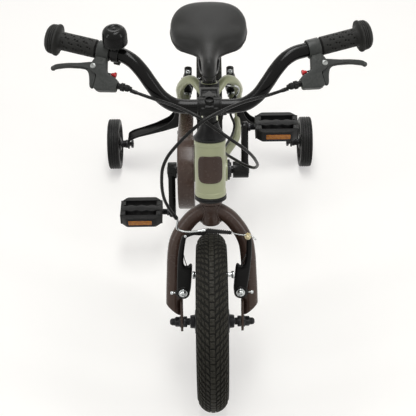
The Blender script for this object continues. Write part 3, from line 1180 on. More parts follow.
fork_welds = []
for name, side in SIDES.items():
    leg, saddle_curve = fork_leg(side)
    fork_welds.append(saddle_curve)
    end = plate(fork_plate_outline, steer_point(side * FORK_SPREAD, 0.0), STEER_FORWARD, STEER_UP,
                X * side * 0.0042, 0.0006)
    boss = lathe(mm((10, 6.4), (33.5, 6.4), (34.5, 5.4), (35.7, 5.4)),
                 steer_point(side * BRAKE_HALF_WIDTH, 0.054), STEER_FORWARD, 40)
    add_piece("fork_leg_round_" + name, [leg, end, boss], "brown_paint", "fork_and_bar", ["fork_leg_" + name])
add_piece("fork_welds", [weld(curve, 0.0016) for curve in fork_welds], "brown_paint", "fork_and_bar")
print("fork legs are %.0f mm apart at the axle" % (2000 * FORK_SPREAD))

# %% [markdown]
# ## Headset cover and stem
# A flared rubber-like cover keeps water out of the upper bearing. The stem is a casting: a flat top with two
# triangular pockets on either side of a rib in the shape of an inverted V, a counterbored clamp bolt at the
# rib's foot, and a wide round clamp for the bar. Its top is a height over the (sideways, forward) plane, and
# the rest of each section closes below it.

# %% Headset cover and stem
cover = mm((308.4, 13.1), (308.4, 25.6), (309.2, 26.4), (312.2, 26.6), (313, 25.8), (313.4, 24.6), (315, 24),
           (320.5, 20.8), (328, 16.6), (333, 15), (336.2, 14.8), (336.9, 14.1), (336.9, 13.1))
add_piece("headset_cover_round", [hollow(cover, *STEERER, 80)], "black_plastic",
          "fork_and_bar", ["headset_cover"])

BAR_CENTRE = np.array([0.0, -0.161, 0.514])
BAR_RADIUS = 0.0111

def step_up(value, soft):
    """A smooth step from 0 to 1 while the value goes from 0 to the soft width."""
    t = np.clip(value / soft, 0.0, 1.0)
    return t * t * (3.0 - 2.0 * t)

def stem_top(x, forward):
    """Height of the casting's top: the drawn line, less the pockets beside the V-shaped rib."""
    line = np.interp(forward, [-0.017, -0.014, -0.01, 0.012, 0.034, 0.047, 0.053],
                     [0.384, 0.389, 0.391, 0.391, 0.3885, 0.383, 0.375])
    rib = 0.0145 + 2.15 * np.abs(x)
    inside = (step_up(forward - 0.003, 0.0022) * step_up(rib - 0.0026 - forward, 0.0018)
              * step_up(0.0128 - np.abs(x), 0.0016))
    outside = step_up(forward - rib - 0.0024, 0.0022) * step_up(np.abs(x) - 0.0065, 0.002) * 0.6
    well = np.exp(-(np.hypot(x, forward - 0.0445) / 0.0054) ** 8)
    return line - 0.0044 * inside - 0.0036 * outside - 0.006 * well

stem_forward = np.concatenate([[-0.017, -0.0168, -0.016], np.linspace(-0.0145, 0.0505, 66), [0.0522, 0.053]])
pinch = np.interp(stem_forward, [-0.017, -0.0168, -0.016, -0.0145, 0.0505, 0.0522, 0.053],
                  [0.8, 0.88, 0.96, 1.0, 1.0, 0.95, 0.86])
stem_low = np.interp(stem_forward, [-0.017, 0.016, 0.036, 0.047, 0.053], [0.366, 0.361, 0.357, 0.36, 0.368])
top_x = np.linspace(-0.0155, 0.0155, 63)
round_off = 0.0022 * (1.0 - np.sqrt(np.clip(1.0 - ((np.abs(top_x) - 0.0133).clip(0.0) / 0.0022) ** 2, 0.0, 1.0)))
stem_rings = []
for forward, width, low in zip(stem_forward, pinch, stem_low):
    top = stem_top(top_x, forward) - round_off
    upper = steer_point(top_x * width, top, forward)
    lower = steer_point(np.array([0.0155, 0.0149, 0.0135, -0.0135, -0.0149, -0.0155]) * width,
                        low + np.array([0.002, 0.0006, 0.0, 0.0, 0.0006, 0.002]), forward)
    stem_rings.append(np.concatenate([upper, lower]))
clamp_profile = mirrored((-18.6, 11.6), (-18.6, 13.6), (-18, 14.6), (-16.8, 14.6), (-16.2, 13.8), (-15, 13.6))
quill = lathe(mm((334.3, 11.1), (366, 11.1), (369, 13)), *STEERER, 48)
add_piece("stem_casting", [solid_of(stem_rings), hollow(clamp_profile, BAR_CENTRE, X, 80),
                           quill], "black_satin", "fork_and_bar", ["stem"], 30.0)
bolt_way = unit(0.9 * STEER_UP + 0.43 * STEER_FORWARD)
bolt_seat = steer_point(0.0, 0.3825, 0.045)
collar = hollow(eased(mm((-3, 8), (3.8, 7.3), (4.6, 6.4), (3.8, 5.6), (-3, 5.4)), 0.0006),
               bolt_seat, bolt_way, 56)
add_piece("stem_bolt_collar", [collar], "black_satin", "fork_and_bar")
add_piece("stem_bolt", [bolt_head(bolt_seat - bolt_way * 0.005, bolt_way, 0.005, 0.003, 0.55)], "black_steel",
          "fork_and_bar")
print("stem top at t = %.3f" % stem_top(0.0, 0.0))

# %% [markdown]
# ## Handlebar
# The bar is one bent steel tube, gloss black. It rises on each side in two soft bends and then runs straight
# into the grips. A smooth curve through measured places carries the circle.

# %% Handlebar
BAR_ROUTE = mm((0, -161, 514), (10, -161, 514), (22, -161, 514), (37, -161, 514.2), (54, -160, 516.5),
               (74, -156.5, 530), (88.5, -150, 549), (102, -141, 567), (116.5, -130, 578.5), (134.5, -120.8, 584),
               (163, -113, 587))
GRIP_WAY = unit([0.086, 0.0235, 0.009])

def grip_point(side, along):
    """A place on the straight end of the bar, from the middle of the lever clamp outwards."""
    return (BAR_ROUTE[-1] + GRIP_WAY * along) * (side, 1.0, 1.0)

def grip_way(side):
    """The direction outwards along a grip."""
    return GRIP_WAY * (side, 1.0, 1.0)

straight = [grip_point(1.0, along) for along in (-0.022, -0.01, 0.0, 0.03, 0.06, 0.0835)]
half_bar = np.concatenate([BAR_ROUTE[:-1], straight])
bar_path = smooth_path(np.concatenate([half_bar[:0:-1] * (-1, 1, 1), half_bar]), 0.005)
add_piece("handlebar_tube", [tube(bar_path, BAR_RADIUS, 48)], "black_gloss", "fork_and_bar", ["handlebar"])
print("the bar is %.0f mm of tube" % (1000 * run_of(bar_path)[-1]))

# %% [markdown]
# ## Grips
# The grips are soft rubber with a wide guard at the outer end, grooved round its rim, that keeps a child's
# hand off a wall. Pairs of small pits are pressed into the barrel in staggered rows. A pit is a dip in the
# radius: the distance to the nearest pit comes from folding the length and the angle into one cell.

# %% Grips
GRIP_RADIUS = 0.0142
PIT_CELL = 0.0148
PIT_ROWS = 12

def grip(side):
    """The barrel with its pits, the flared guard and the closed end: radius = profile - depth of the pits."""
    guard = mm((57.8, 14.6), (59.4, 16), (60.4, 19), (60.9, 23.2), (61.4, 24.3), (62.1, 24.5), (63.6, 24.5),
               (64.3, 24.2), (64.7, 22.1), (65.5, 21.9), (65.9, 23.1), (67.3, 23.1), (67.7, 21.7), (68.5, 21.7),
               (68.9, 22.9), (70.3, 22.8), (70.7, 21.5), (71.5, 21.5), (71.9, 22.6), (73.3, 22.4), (75.2, 21.4),
               (77, 19.8), (78.4, 17.8), (79.3, 15.2), (79.9, 11), (80, 6), (80, 0.4))
    along = np.concatenate([[0.0, 0.0003, 0.001, 0.0018], np.linspace(0.0026, 0.056, 118), guard[:, 0]])
    radius = np.concatenate([[0.0126, 0.0136, 0.0142, 0.0143], np.full(118, GRIP_RADIUS), guard[:, 1]])
    sides = 144
    angle = circle_angles(sides)
    row = np.round(angle / (2 * np.pi / PIT_ROWS))
    sideways = (angle - row * 2 * np.pi / PIT_ROWS) * GRIP_RADIUS
    start = 0.0085 + np.mod(row, 2) * PIT_CELL / 2
    cell = np.mod(along[:, None] - start[None], PIT_CELL) - PIT_CELL / 2
    near = np.minimum(np.hypot(cell - 0.0023, sideways - 0.0006), np.hypot(cell + 0.0023, sideways + 0.0006))
    in_barrel = ((along > 0.006) & (along < 0.0545))[:, None]
    pit = 0.0022 * np.exp(-(near / 0.00145) ** 4) * in_barrel
    ring = round_ring(*square_to(grip_way(side)), sides)
    rings = (grip_point(side, 0.0085) + along[:, None, None] * grip_way(side)
             + (radius[:, None] - pit)[:, :, None] * ring)
    return solid_of(rings)

for name, side in SIDES.items():
    add_piece("grip_rubber_" + name, [grip(side)], "grip_rubber", "fork_and_bar", ["grip_" + name], 50.0)
print("pits in a row:", int(0.048 / PIT_CELL) * 2)

# %% [markdown]
# ## Bell
# The bell stands on a plastic base clamped to the bar beside the right grip. Its painted steel dome has a
# tall side, a round shoulder and a shallow dish in the top round the fixing screw. The base is ribbed, and a
# thumb lever sticks out behind. The lever is its own body, so it stays a separate piece.

# %% Bell
BELL_PLACE = grip_point(-1, -0.023)
dome = mm((18.8, 10), (18.8, 18), (19.3, 18.7), (21.2, 19), (22.2, 19), (22.6, 18.6), (23.6, 18.6), (24, 19),
          (33.5, 18.9), (37.2, 18.4), (40, 17.4), (42.4, 15.8), (43.9, 14), (44.6, 12.4), (44.8, 10.6), (44.8, 9.8),
          (44.1, 9), (43.7, 7), (43.7, 3.2), (44.4, 2.6), (44.8, 0.4))
add_piece("bell_dome_round", [lathe(dome, BELL_PLACE, Z, 96)], "black_gloss", "fork_and_bar", ["bell_dome"])
skirt_rows = [(0.012, 0.0062, 0), (0.015, 0.0072, 0), (0.0158, 0.0095, 1), (0.0163, 0.014, 1), (0.0172, 0.0168, 1),
              (0.0186, 0.0168, 1), (0.0186, 0.001, 0)]
skirt_ribs = 0.035 * np.clip(2.0 * np.cos(20 * circle_angles(120)), -1.0, 1.0)
skirt = turned(skirt_rows, skirt_ribs, BELL_PLACE, Z, ways=(X, Y))
bell_way = grip_way(-1)
band = sleeve(-0.0056, 0.0058, 0.012, 0.0138, 0.0008, BELL_PLACE, bell_way, 64)
band_across = unit(np.cross(bell_way, Z))
lugs = [plate(rounded_box(0.01, 0.003, 0.001), BELL_PLACE - Z * 0.0185 + band_across * shift,
              bell_way, band_across, Z * 0.0058, 0.0006) for shift in (-0.0022, 0.0022)]
add_piece("bell_base_ribbed", [skirt, band] + lugs, "black_plastic", "fork_and_bar",
          ["bell_base"])
add_piece("bell_band_screw", [bolt_head(BELL_PLACE - Z * 0.016 + band_across * 0.0034, band_across, 0.0026, 0.002)],
          "bright_steel", "fork_and_bar")

thumb_place = BELL_PLACE + np.array([0.0075, 0.0105, 0.0115])
thumb_way = unit([0.25, 0.97, 0.0])
thumb_outline = eased(mm((-2, -2.8), (5.5, -3.2), (15, -4.5), (18, 0), (15, 4.5), (5.5, 3.2), (-2, 2.8)), 0.0022)
thumb_side = np.cross(Z, thumb_way)
thumb = plate(thumb_outline, thumb_place - Z * 0.0015, thumb_way, thumb_side, Z * 0.0032, 0.0009)
rib_middles = thumb_place + Z * 0.0016 + np.outer((0.0108, 0.0128, 0.0148), thumb_way)
thumb_ribs = rods(rib_middles - thumb_side * 0.003, rib_middles + thumb_side * 0.003, 0.0004)
add_piece("bell_thumb_lever_piece", [thumb, thumb_ribs], "black_plastic", "bell_thumb_lever", ["bell_lever"])
print("bell at", np.round(BELL_PLACE, 3))

# %% [markdown]
# ## Brake levers
# Each lever bracket is a moulding of glass-filled plastic: a band round the bar, two cheeks that hold the
# blade between them, and an arm that ends in a barrel for the cable. The blade is a finger lever with a
# thick root, a slim waist and a ball at its tip. The cheeks and the core between them are three plates cut
# from drawn outlines. A red screw beside the pivot sets how far the lever reaches.

# %% Lever brackets
LEVER_PIVOT = (0.005, 0.028)

def lever_axes(side):
    """The clamp's centre, then outwards along the bar, forwards, and up, all square to each other."""
    outward = grip_way(side)
    forward = -leaning(40.0)[0]
    forward = unit(forward - outward * (forward @ outward))
    return grip_point(side, 0.0), outward, forward, np.cross(outward, forward) * -side

CHEEK = eased(mm((-12, 11.8), (4.5, 11.8), (9.5, 24), (9.2, 33), (2, 38), (-3.8, 40), (-3.8, 61), (-10.5, 63.5),
                 (-38, 57.5), (-38.5, 41.5), (-33, 38), (-17.5, 33.5), (-14.5, 22)),
              [0.002, 0.003, 0.005, 0.005, 0.002, 0.003, 0.003, 0.004, 0.003, 0.002, 0.003, 0.007, 0.004], 5)
CORE = eased(mm((-11.8, 11.8), (4.3, 11.8), (7.2, 16.2), (-5, 20), (-7, 30), (-4.2, 40.5), (-4.2, 60.6),
                (-10.6, 63), (-37.6, 57.2), (-38.1, 41.8), (-33, 38.4), (-17.7, 33.9), (-14.8, 22.2)),
             [0.002, 0.002, 0.001, 0.001, 0.002, 0.001, 0.003, 0.004, 0.003, 0.002, 0.003, 0.007, 0.004], 5)

def lever_bracket(side):
    """The band, the two cheeks and the core between them."""
    centre, outward, forward, up = lever_axes(side)
    band = sleeve(-0.0135, 0.0055, 0.0114, 0.0145, 0.001, centre, outward, 64, 5)
    neck = plate(eased(mm((-11, 0), (3, 0), (3, 12.5), (-11, 12.5)), 0.001),
                 centre - up * 0.0062 + forward * 0.0118, outward, forward, up * 0.0144, 0.001)
    low = plate(CHEEK, centre - up * 0.006, outward, forward, up * 0.0034, 0.0012, 4)
    middle = plate(CORE, centre - up * 0.003, outward, forward, up * 0.0084, 0.0002)
    high = plate(CHEEK, centre + up * 0.0052, outward, forward, up * 0.0028, 0.0012, 4)
    return [band, neck, low, middle, high]

def cable_adjuster(side):
    """The locknut and the threaded barrel that the cable leaves by, both ribbed for the fingers."""
    centre, outward, forward, up = lever_axes(side)
    start = centre - outward * 0.037 + forward * 0.0482
    ribs = np.clip(1.6 * np.cos(12 * circle_angles(96)), -1.0, 1.0)
    rows = [(0.0, 0.0047, 0), (0.0062, 0.0047, 0), (0.0066, 0.0058, 0.03), (0.0072, 0.0061, 0.05),
            (0.0118, 0.0061, 0.05), (0.0124, 0.0056, 0.03), (0.0126, 0.0046, 0), (0.0138, 0.0045, 0),
            (0.0141, 0.005, 0.03), (0.0146, 0.0052, 0.05), (0.0186, 0.0049, 0.05), (0.0196, 0.0044, 0.03),
            (0.0204, 0.0038, 0), (0.0232, 0.0036, 0), (0.0236, 0.0028, 0)]
    return turned(rows, ribs, start, -outward, ways=(forward, up))

BLADE = eased(mm((0.5, 23.2), (9, 21), (16, 23.2), (30, 27.8), (45, 31.2), (60, 36.2), (65.5, 39), (69, 43.2),
                 (68.6, 47), (65, 47.2), (58, 44), (45, 39.2), (30, 36.4), (19, 34.5), (11.5, 37.2), (7, 47),
                 (3.5, 60), (-0.5, 62), (-3.4, 60), (-3.4, 41), (0.4, 35)), 0.006, 6)
for name, side in SIDES.items():
    centre, outward, forward, up = lever_axes(side)
    add_piece("lever_bracket_moulding_" + name, lever_bracket(side), "grey_resin", "fork_and_bar",
              ["lever_bracket_" + name], 32.0)
    add_piece("cable_adjuster_" + name, [cable_adjuster(side)], "black_satin", "fork_and_bar", (), 32.0)
    pivot = centre + outward * LEVER_PIVOT[0] + forward * LEVER_PIVOT[1]
    add_piece("lever_pivot_" + name,
              [bolt_head(pivot + up * 0.0078, up, 0.0044, 0.0014, 0.42),
               bolt_head(pivot - up * 0.0058, -up, 0.0044, 0.0014, 0.42)], "dull_steel", "fork_and_bar")
    blade = plate(BLADE, centre - up * 0.0021, outward, forward, up * 0.0067, 0.0024, 5)
    tip = centre + outward * 0.066 + forward * 0.0447 + up * 0.00125
    lobe_angle = np.radians(np.linspace(2.0, 178.0, 15))
    ball = lathe(np.column_stack([-0.004 * np.cos(lobe_angle), 0.004 * np.sin(lobe_angle)]), tip, outward, 32)
    add_piece("brake_lever_blade_" + name, [blade, ball], "grey_resin", name + "_brake_lever",
              ["brake_lever_" + name], 40.0)
    stem_start = centre - outward * 0.015 + forward * 0.033 + up * 0.001
    add_piece("reach_screw_" + name, [screw(stem_start, -outward, 0.0013, 0.013)], "black_steel", "fork_and_bar")
    knob = hollow(eased(mm((9.6, 1.2), (9.6, 2), (13.6, 3.2), (14.2, 4.2), (16.4, 4.3), (17.2, 3.8),
                          (17.2, 1.2)), 0.0004), stem_start, -outward, 32)
    cap = lathe(mm((14.2, 1.6), (16.9, 1.6)), stem_start, -outward, 20)
    add_piece("reach_knob_" + name, [knob, cap], "red_plastic", "fork_and_bar")
print("levers are %.0f mm long" % (1000 * math.hypot(0.066, 0.0447)))

# %% [markdown]
# # Saddle
# ## The padded cover
# The saddle is foam on a plastic pan under a stretched vinyl cover. From above it is a short nose that opens
# into a broad seat. Every section across it is a superellipse: flat on top, full at the sides. The cover is
# stretched over the foam, so it is made the way it is made in a workshop: a slightly slim shape is blown up
# from inside with Blender's cloth, its rim held to the pan, and what may move is capped to 3 mm.

# %% Saddle shape
SADDLE_PLAN = mm((35.2, 0), (35.8, 4), (37.5, 7.5), (41, 11), (56, 14.2), (85, 16), (105, 20), (116, 29), (125, 43),
                 (133, 56), (142, 64), (153, 69), (170, 72.5), (190, 74.5), (210, 72), (230, 62.5), (242, 46.5),
                 (247.8, 31), (249.4, 15), (249.8, 0))
SADDLE_NOSE, SADDLE_TAIL = 0.0352, 0.2498
SADDLE_RIM = 0.4215

def saddle_outline(samples):
    """Half of the plan as a smooth curve of (y, half width), closed by a round nose and a round tail."""
    path = smooth_path(SADDLE_PLAN, 0.0008)
    run = np.linspace(0.0, len(path) - 1, samples)
    return np.maximum(0.0, np.column_stack([np.interp(run, np.arange(len(path)), column) for column in path.T]))

def crown_height(y):
    """Height of the cover's middle line over the widest line, along the saddle."""
    share = np.clip((y - 0.037) / (0.248 - 0.037), 0.0, 1.0)
    end = np.sqrt(np.clip(1.0 - (1.0 - np.clip((y - SADDLE_NOSE) / 0.022, 0.0, 1.0)) ** 2, 0.0, 1.0))
    tail = np.sqrt(np.clip(1.0 - (1.0 - np.clip((SADDLE_TAIL - y) / 0.03, 0.0, 1.0)) ** 2, 0.0, 1.0))
    rise = 0.018 + 0.01 * share + 0.004 * np.cos(2 * np.pi * share)
    return rise * np.maximum(end, 0.02) * np.maximum(tail, 0.02)

def saddle_grid(stations, around, slim=0.0):
    """The cover as rings: x = w |cos a|^.72, z = h |sin a|^.78 above the widest line, upright walls below it.

    Slim draws the whole shape in, to leave room for the padding to swell.
    """
    y = SADDLE_NOSE + (SADDLE_TAIL - SADDLE_NOSE) * (0.5 - 0.5 * np.cos(np.linspace(0.04, np.pi - 0.04, stations)))
    outline = saddle_outline(900)
    half = np.interp(y, outline[:, 0], outline[:, 1]) - slim
    angle = circle_angles(around)
    below = np.abs(np.arcsin(np.clip(np.sin(angle), -1.0, 0.0))) / (np.pi / 2)
    stops = [0.0, 0.35, 0.6, 0.8, 0.9, 1.0]
    wall = np.interp(below, stops, [1.0, 1.0, 0.99, 0.955, 0.86, 0.0])
    across = np.sign(np.cos(angle)) * np.where(below > 0.0, wall, np.abs(np.cos(angle)) ** 0.72)
    up = np.where(below > 0.0, -np.interp(below, stops, [0.0, 0.5, 0.84, 0.98, 1.0, 1.0]),
                  np.clip(np.sin(angle), 0.0, 1.0) ** 0.78)
    rise = (crown_height(y) - slim)[:, None]
    drop = np.minimum(0.015, 0.4 * rise + 0.008)
    height = 0.436 + np.where(up[None] > 0, up[None] * rise, up[None] * drop)
    x = np.maximum(half, 0.0008)[:, None] * across[None]
    return np.stack([x, np.broadcast_to(y[:, None], x.shape), height], axis=-1)

print("saddle: %.0f mm long, %.0f mm wide" % (1000 * (SADDLE_TAIL - SADDLE_NOSE), 2000 * SADDLE_PLAN[:, 1].max()))

# %% [markdown]
# The simulation works on a copy that is made of even little squares, because a net of long thin faces folds
# badly. After it, the points' new places are read back and the cap is applied, fourteen passes even out the
# small waves, and the cloth is dropped. What is left is a plain mesh, smoothed by one subdivision.

# %% Stretch the cover
def read_all(items, key, size=1, kind=int):
    """The named value of every item, as rows of an array."""
    values = np.empty(len(items) * size, kind)
    items.foreach_get(key, values)
    return values.reshape(-1, size) if size > 1 else values

def blown_up(points, faces, pressure, cap, voxel):
    """Even out a closed mesh, swell it with cloth pressure, and cap how far any of its points moves."""
    mesh = bpy.data.meshes.new("saddle_form")
    mesh.from_pydata(points.tolist(), [], [face for block in faces for face in block.tolist()])
    form = bpy.data.objects.new("saddle_form", mesh)
    bpy.context.collection.objects.link(form)
    even = form.modifiers.new("even", "REMESH")
    even.mode = "VOXEL"
    even.voxel_size = voxel
    depsgraph = bpy.context.evaluated_depsgraph_get()
    rest = bpy.data.meshes.new_from_object(form.evaluated_get(depsgraph))
    form.modifiers.clear()
    form.data = rest
    start = read_all(rest.vertices, "co", 3, float)
    held = form.vertex_groups.new(name="rim")
    held.add(np.flatnonzero(start[:, 2] < SADDLE_RIM + 0.003).tolist(), 1.0, "REPLACE")
    cloth = form.modifiers.new("cover", "CLOTH")
    cloth.settings.vertex_group_mass = "rim"
    cloth.settings.quality = 6
    cloth.settings.use_pressure = True
    cloth.settings.uniform_pressure_force = pressure
    cloth.settings.tension_stiffness = 25.0
    cloth.settings.compression_stiffness = 25.0
    cloth.settings.effector_weights.gravity = 0.0
    cloth.point_cache.frame_start = 1
    cloth.point_cache.frame_end = 20
    for moment in range(1, 21):
        bpy.context.scene.frame_set(moment)
    swollen = bpy.data.meshes.new_from_object(form.evaluated_get(bpy.context.evaluated_depsgraph_get()))
    move = read_all(swollen.vertices, "co", 3, float) - start
    far = np.linalg.norm(move, axis=1, keepdims=True)
    move *= np.minimum(1.0, cap / np.maximum(far, 1e-9))
    bpy.context.scene.frame_set(1)
    places = start + move
    ends = read_all(rest.edges, "vertices", 2)
    ends = np.concatenate([ends, ends[:, ::-1]])
    neighbours = np.bincount(ends[:, 0], minlength=len(places))[:, None]
    free = (start[:, 2] > SADDLE_RIM + 0.0045)[:, None]
    for _ in range(14):
        near = np.stack([np.bincount(ends[:, 0], weights=places[ends[:, 1], k], minlength=len(places))
                         for k in range(3)], axis=-1) / neighbours
        places = np.where(free, 0.5 * places + 0.5 * near, places)
    corners = read_all(rest.loops, "vertex_index")
    starts, totals = (read_all(rest.polygons, key) for key in ("loop_start", "loop_total"))
    blocks = [corners[starts[totals == size][:, None] + np.arange(size)] for size in np.unique(totals)]
    bpy.data.objects.remove(form)
    print("cover: %d points moved by %.2f mm on average" % (len(start), 1000 * np.mean(np.linalg.norm(move, axis=1))))
    return outwards(places, blocks)

cover_shape = blown_up(*solid_of(saddle_grid(60, 72, 0.0016)), 4.0, 0.003, 0.0035)
cover = add_piece("saddle_cover", [cover_shape], "saddle_vinyl", "saddle_unit", ["saddle"], 70.0)
smooth_cover = cover.modifiers.new("smooth", "SUBSURF")
smooth_cover.levels = smooth_cover.render_levels = 1
print("cover has", len(cover.data.polygons), "faces before the subdivision")

# %% [markdown]
# ## Edge, pan and rails
# Below the cover's edge a thin welt runs round, where the vinyl is folded under and stapled to the pan. The
# pan is black plastic. Two steel rails run under it from the nose to the tail, and a clamp block with a bolt
# on each side holds them to the top of the seat post.

# %% Saddle underside
plan = saddle_outline(140)
plan = plan[(plan[:, 0] > 0.0365) & (plan[:, 0] < 0.2485)]
loop = np.concatenate([np.column_stack([plan[:, 1], plan[:, 0]]), np.column_stack([-plan[::-1, 1], plan[::-1, 0]])])
welt_line = moved_in(loop, 0.002)
welt = tube(np.column_stack([welt_line, np.full(len(welt_line), 0.4238)]), 0.0011, 10, closed=True)
add_piece("saddle_welt", [welt], "saddle_vinyl", "saddle_unit")

pan_rings = [np.column_stack([moved_in(loop, inset), np.full(len(loop), height)])
             for inset, height in mm((10, 413), (7, 413.4), (5, 415), (3.8, 418.5), (3.6, 424), (6, 424.6))]
POST_TOP = 0.232
post_head = seat_point(POST_TOP)
block_low = post_head[2] + 0.0003 + 0.0127 * SEAT_UP[1]
RAIL_ROUTE = mm((10.5, 64, 416), (13, 78, 408.5), (16, 100, 406.2), (17.5, 130, 406), (18.5, 165, 406),
                (22, 195, 408.5), (26, 215, 415))
rails = [tube(smooth_path(RAIL_ROUTE * (side, 1.0, 1.0), 0.004), 0.003, 16, rounded=True) for side in SIDES.values()]
add_piece("saddle_pan", [solid_of(pan_rings)], "black_plastic", "saddle_unit", ["saddle_base"])
add_piece("saddle_rails", rails, "black_steel", "saddle_unit")
cheeks = [plate(rounded_box(0.035, 0.042, 0.006, 6), np.array([0.0, post_head[1], low]), X, Y, Z * (high - low),
                0.0016, 4) for low, high in ((block_low, 0.4048), (0.4052, 0.4126))]
add_piece("saddle_clamp_block", cheeks, "black_plastic", "saddle_unit")
clamp_bolts = []
for side in SIDES.values():
    seat_of_bolt = np.array([side * 0.0178, post_head[1], 0.5 * (block_low + 0.4126)])
    clamp_bolts.append(nut(seat_of_bolt - X * side * 0.0004, X * side, 0.006, 0.0045, 0.0026))
    clamp_bolts.append(lathe(mm((0, 2.7), (6.4, 2.7), (7, 2.1)), seat_of_bolt, X * side, 20))
add_piece("saddle_clamp_bolts", clamp_bolts, "bright_steel", "saddle_unit")

post = [(0.08, 0.0095), (0.08, 0.0117), (0.0812, 0.0127), (0.209, 0.0127), (0.213, 0.012), (0.23, 0.011),
        (POST_TOP, 0.0104)]
add_piece("seat_post_round", [lathe(post, SHELL, SEAT_UP, 64)], "black_gloss", "saddle_unit", ["seat_post"])
print("seat post top at", np.round(post_head, 3))

# %% [markdown]
# # Brakes
# ## Arms and pads
# Both brakes are linear-pull rim brakes. Each has two tall arms that turn on studs beside the rim. An arm is
# pressed from thick steel, so it is a plate with well rounded edges, a round hub below and a hooked foot that
# holds the pad. The pad's stud goes through a dished washer and a nut, so the pad can be set to the rim. Each
# arm with its pad moves as one body.

# %% Brake arms
ARM_OUTLINE = mm((-10.5, -4), (-5, -9), (2, -10), (8.5, -5.5), (11, 6), (11.8, 24), (12.6, 45), (12.8, 64),
                 (11.6, 85), (9.2, 100.5), (5, 104.5), (1.2, 101), (2.6, 85), (3.6, 64), (2.2, 50), (-3.5, 45.5),
                 (-7.5, 52), (-12, 51), (-12.5, 30), (-12.5, 6))
BRAKES = {"front": (front_brake_point, FRONT_AXLE, {"left": 0.085, "right": -0.085}),
          "rear": (rear_brake_point, REAR_AXLE, {"left": -0.09, "right": -0.09})}
RIM_HALF = 0.016
PAD_RADIUS = 0.097

def brake_axes(name):
    """The brake's own directions: up its arms, and out of their plane."""
    point = BRAKES[name][0]
    origin = point(0.0, 0.0, 0.0)
    return point(0.0, 1.0, 0.0) - origin, point(0.0, 0.0, 1.0) - origin

def brake_pad(name, side):
    """The curved pad with its grooves. Its section bends to the rim: radius = PAD_RADIUS +- half height."""
    point, axle, _ = BRAKES[name]
    to_pad = unit(point(0.0, 0.031, 0.0) - axle)
    along = np.cross(to_pad, X)
    run = np.concatenate([[-0.023, -0.0227, -0.0218], np.linspace(-0.0205, 0.0205, 30), [0.0218, 0.0227, 0.023]])
    small = np.interp(np.abs(run), [0.0, 0.0205, 0.0218, 0.0227, 0.023], [1.0, 1.0, 0.96, 0.85, 0.72])
    groove = 0.0009 * np.exp(-((np.abs(run) - 0.007) / 0.001) ** 4)
    face = RIM_HALF + 0.0013
    outline = eased([(-1.0, 0.0), (1.0, 0.0), (1.0, 0.0045), (0.62, 0.0085), (-0.62, 0.0085), (-1.0, 0.0045)],
                    0.0009, 4)
    rings = []
    for angle, size, cut in zip(run / PAD_RADIUS, small, groove):
        way = to_pad * math.cos(angle) + along * math.sin(angle)
        depth = face + np.maximum(outline[:, 1], np.where(outline[:, 1] < 0.001, cut, 0.0))
        rings.append(axle + X * side * depth[:, None] + (PAD_RADIUS + 0.0045 * size * outline[:, 0])[:, None] * way)
    return solid_of(rings), axle + to_pad * PAD_RADIUS

def every_arm():
    """For each arm: its brake and its side, the brake's directions, the arm's body, pivot and lean."""
    for name, (point, _, leans) in BRAKES.items():
        up, out = brake_axes(name)
        for side_name, side in SIDES.items():
            yield (name, side_name, side, up, out, "%s_%s_brake_arm" % (name, side_name),
                   point(side * BRAKE_HALF_WIDTH, 0.0, 0.0), leans[side_name])

for name, side_name, side, up, out, body, pivot, lean in every_arm():
    outline = eased([(a + lean * max(b, 0.0), b) for a, b in ARM_OUTLINE], 0.0045, 4)
    arm = plate(outline, pivot - out * 0.004, X * side, up, out * 0.0085, 0.0038, 7)
    hub = lathe(mm((-6, 7), (-6, 10.4), (-5.4, 11), (5.2, 11), (6.2, 10.2), (6.5, 8.8), (6.5, 7)), pivot, out, 56)
    add_piece(body + "_shape", [arm, hub], "black_satin", body, ["%s_brake_arm_%s" % (name, side_name)], 34.0)
    pad, pad_centre = brake_pad(name, side)
    stud_end = BRAKE_HALF_WIDTH - 0.0129 + lean * 0.031
    stud_from = pad_centre + X * side * (RIM_HALF + 0.0085)
    arm_face = pad_centre + X * side * stud_end
    stud_length = stud_end - RIM_HALF - 0.0085
    add_piece("%s_%s_pad_block" % (name, side_name), [pad], "pad_rubber", body,
              ["%s_brake_pad_%s" % (name, side_name)])
    add_piece("%s_%s_pad_holder" % (name, side_name),
              [lathe([(0.0, 0.0038), (max(stud_length - 0.004, 0.001), 0.0038)], stud_from, X * side, 24),
               hollow(eased(mm((-5, 3), (-5, 5.8), (-2.2, 6.4), (-0.4, 6.4), (-0.4, 3)), 0.0006),
                      arm_face, X * side, 36)],
              "bright_steel", body)
print("pads ride %.0f mm from the axles" % (1000 * PAD_RADIUS))

# %% [markdown]
# ## Small parts of each arm
# A bolt holds each arm to its stud, with a thin washer. Beside the hub a coil spring of bright wire pushes
# the arm back, and a small screw in a black holder sets how hard. On the outside of each arm, the pad's stud
# ends in a nut.

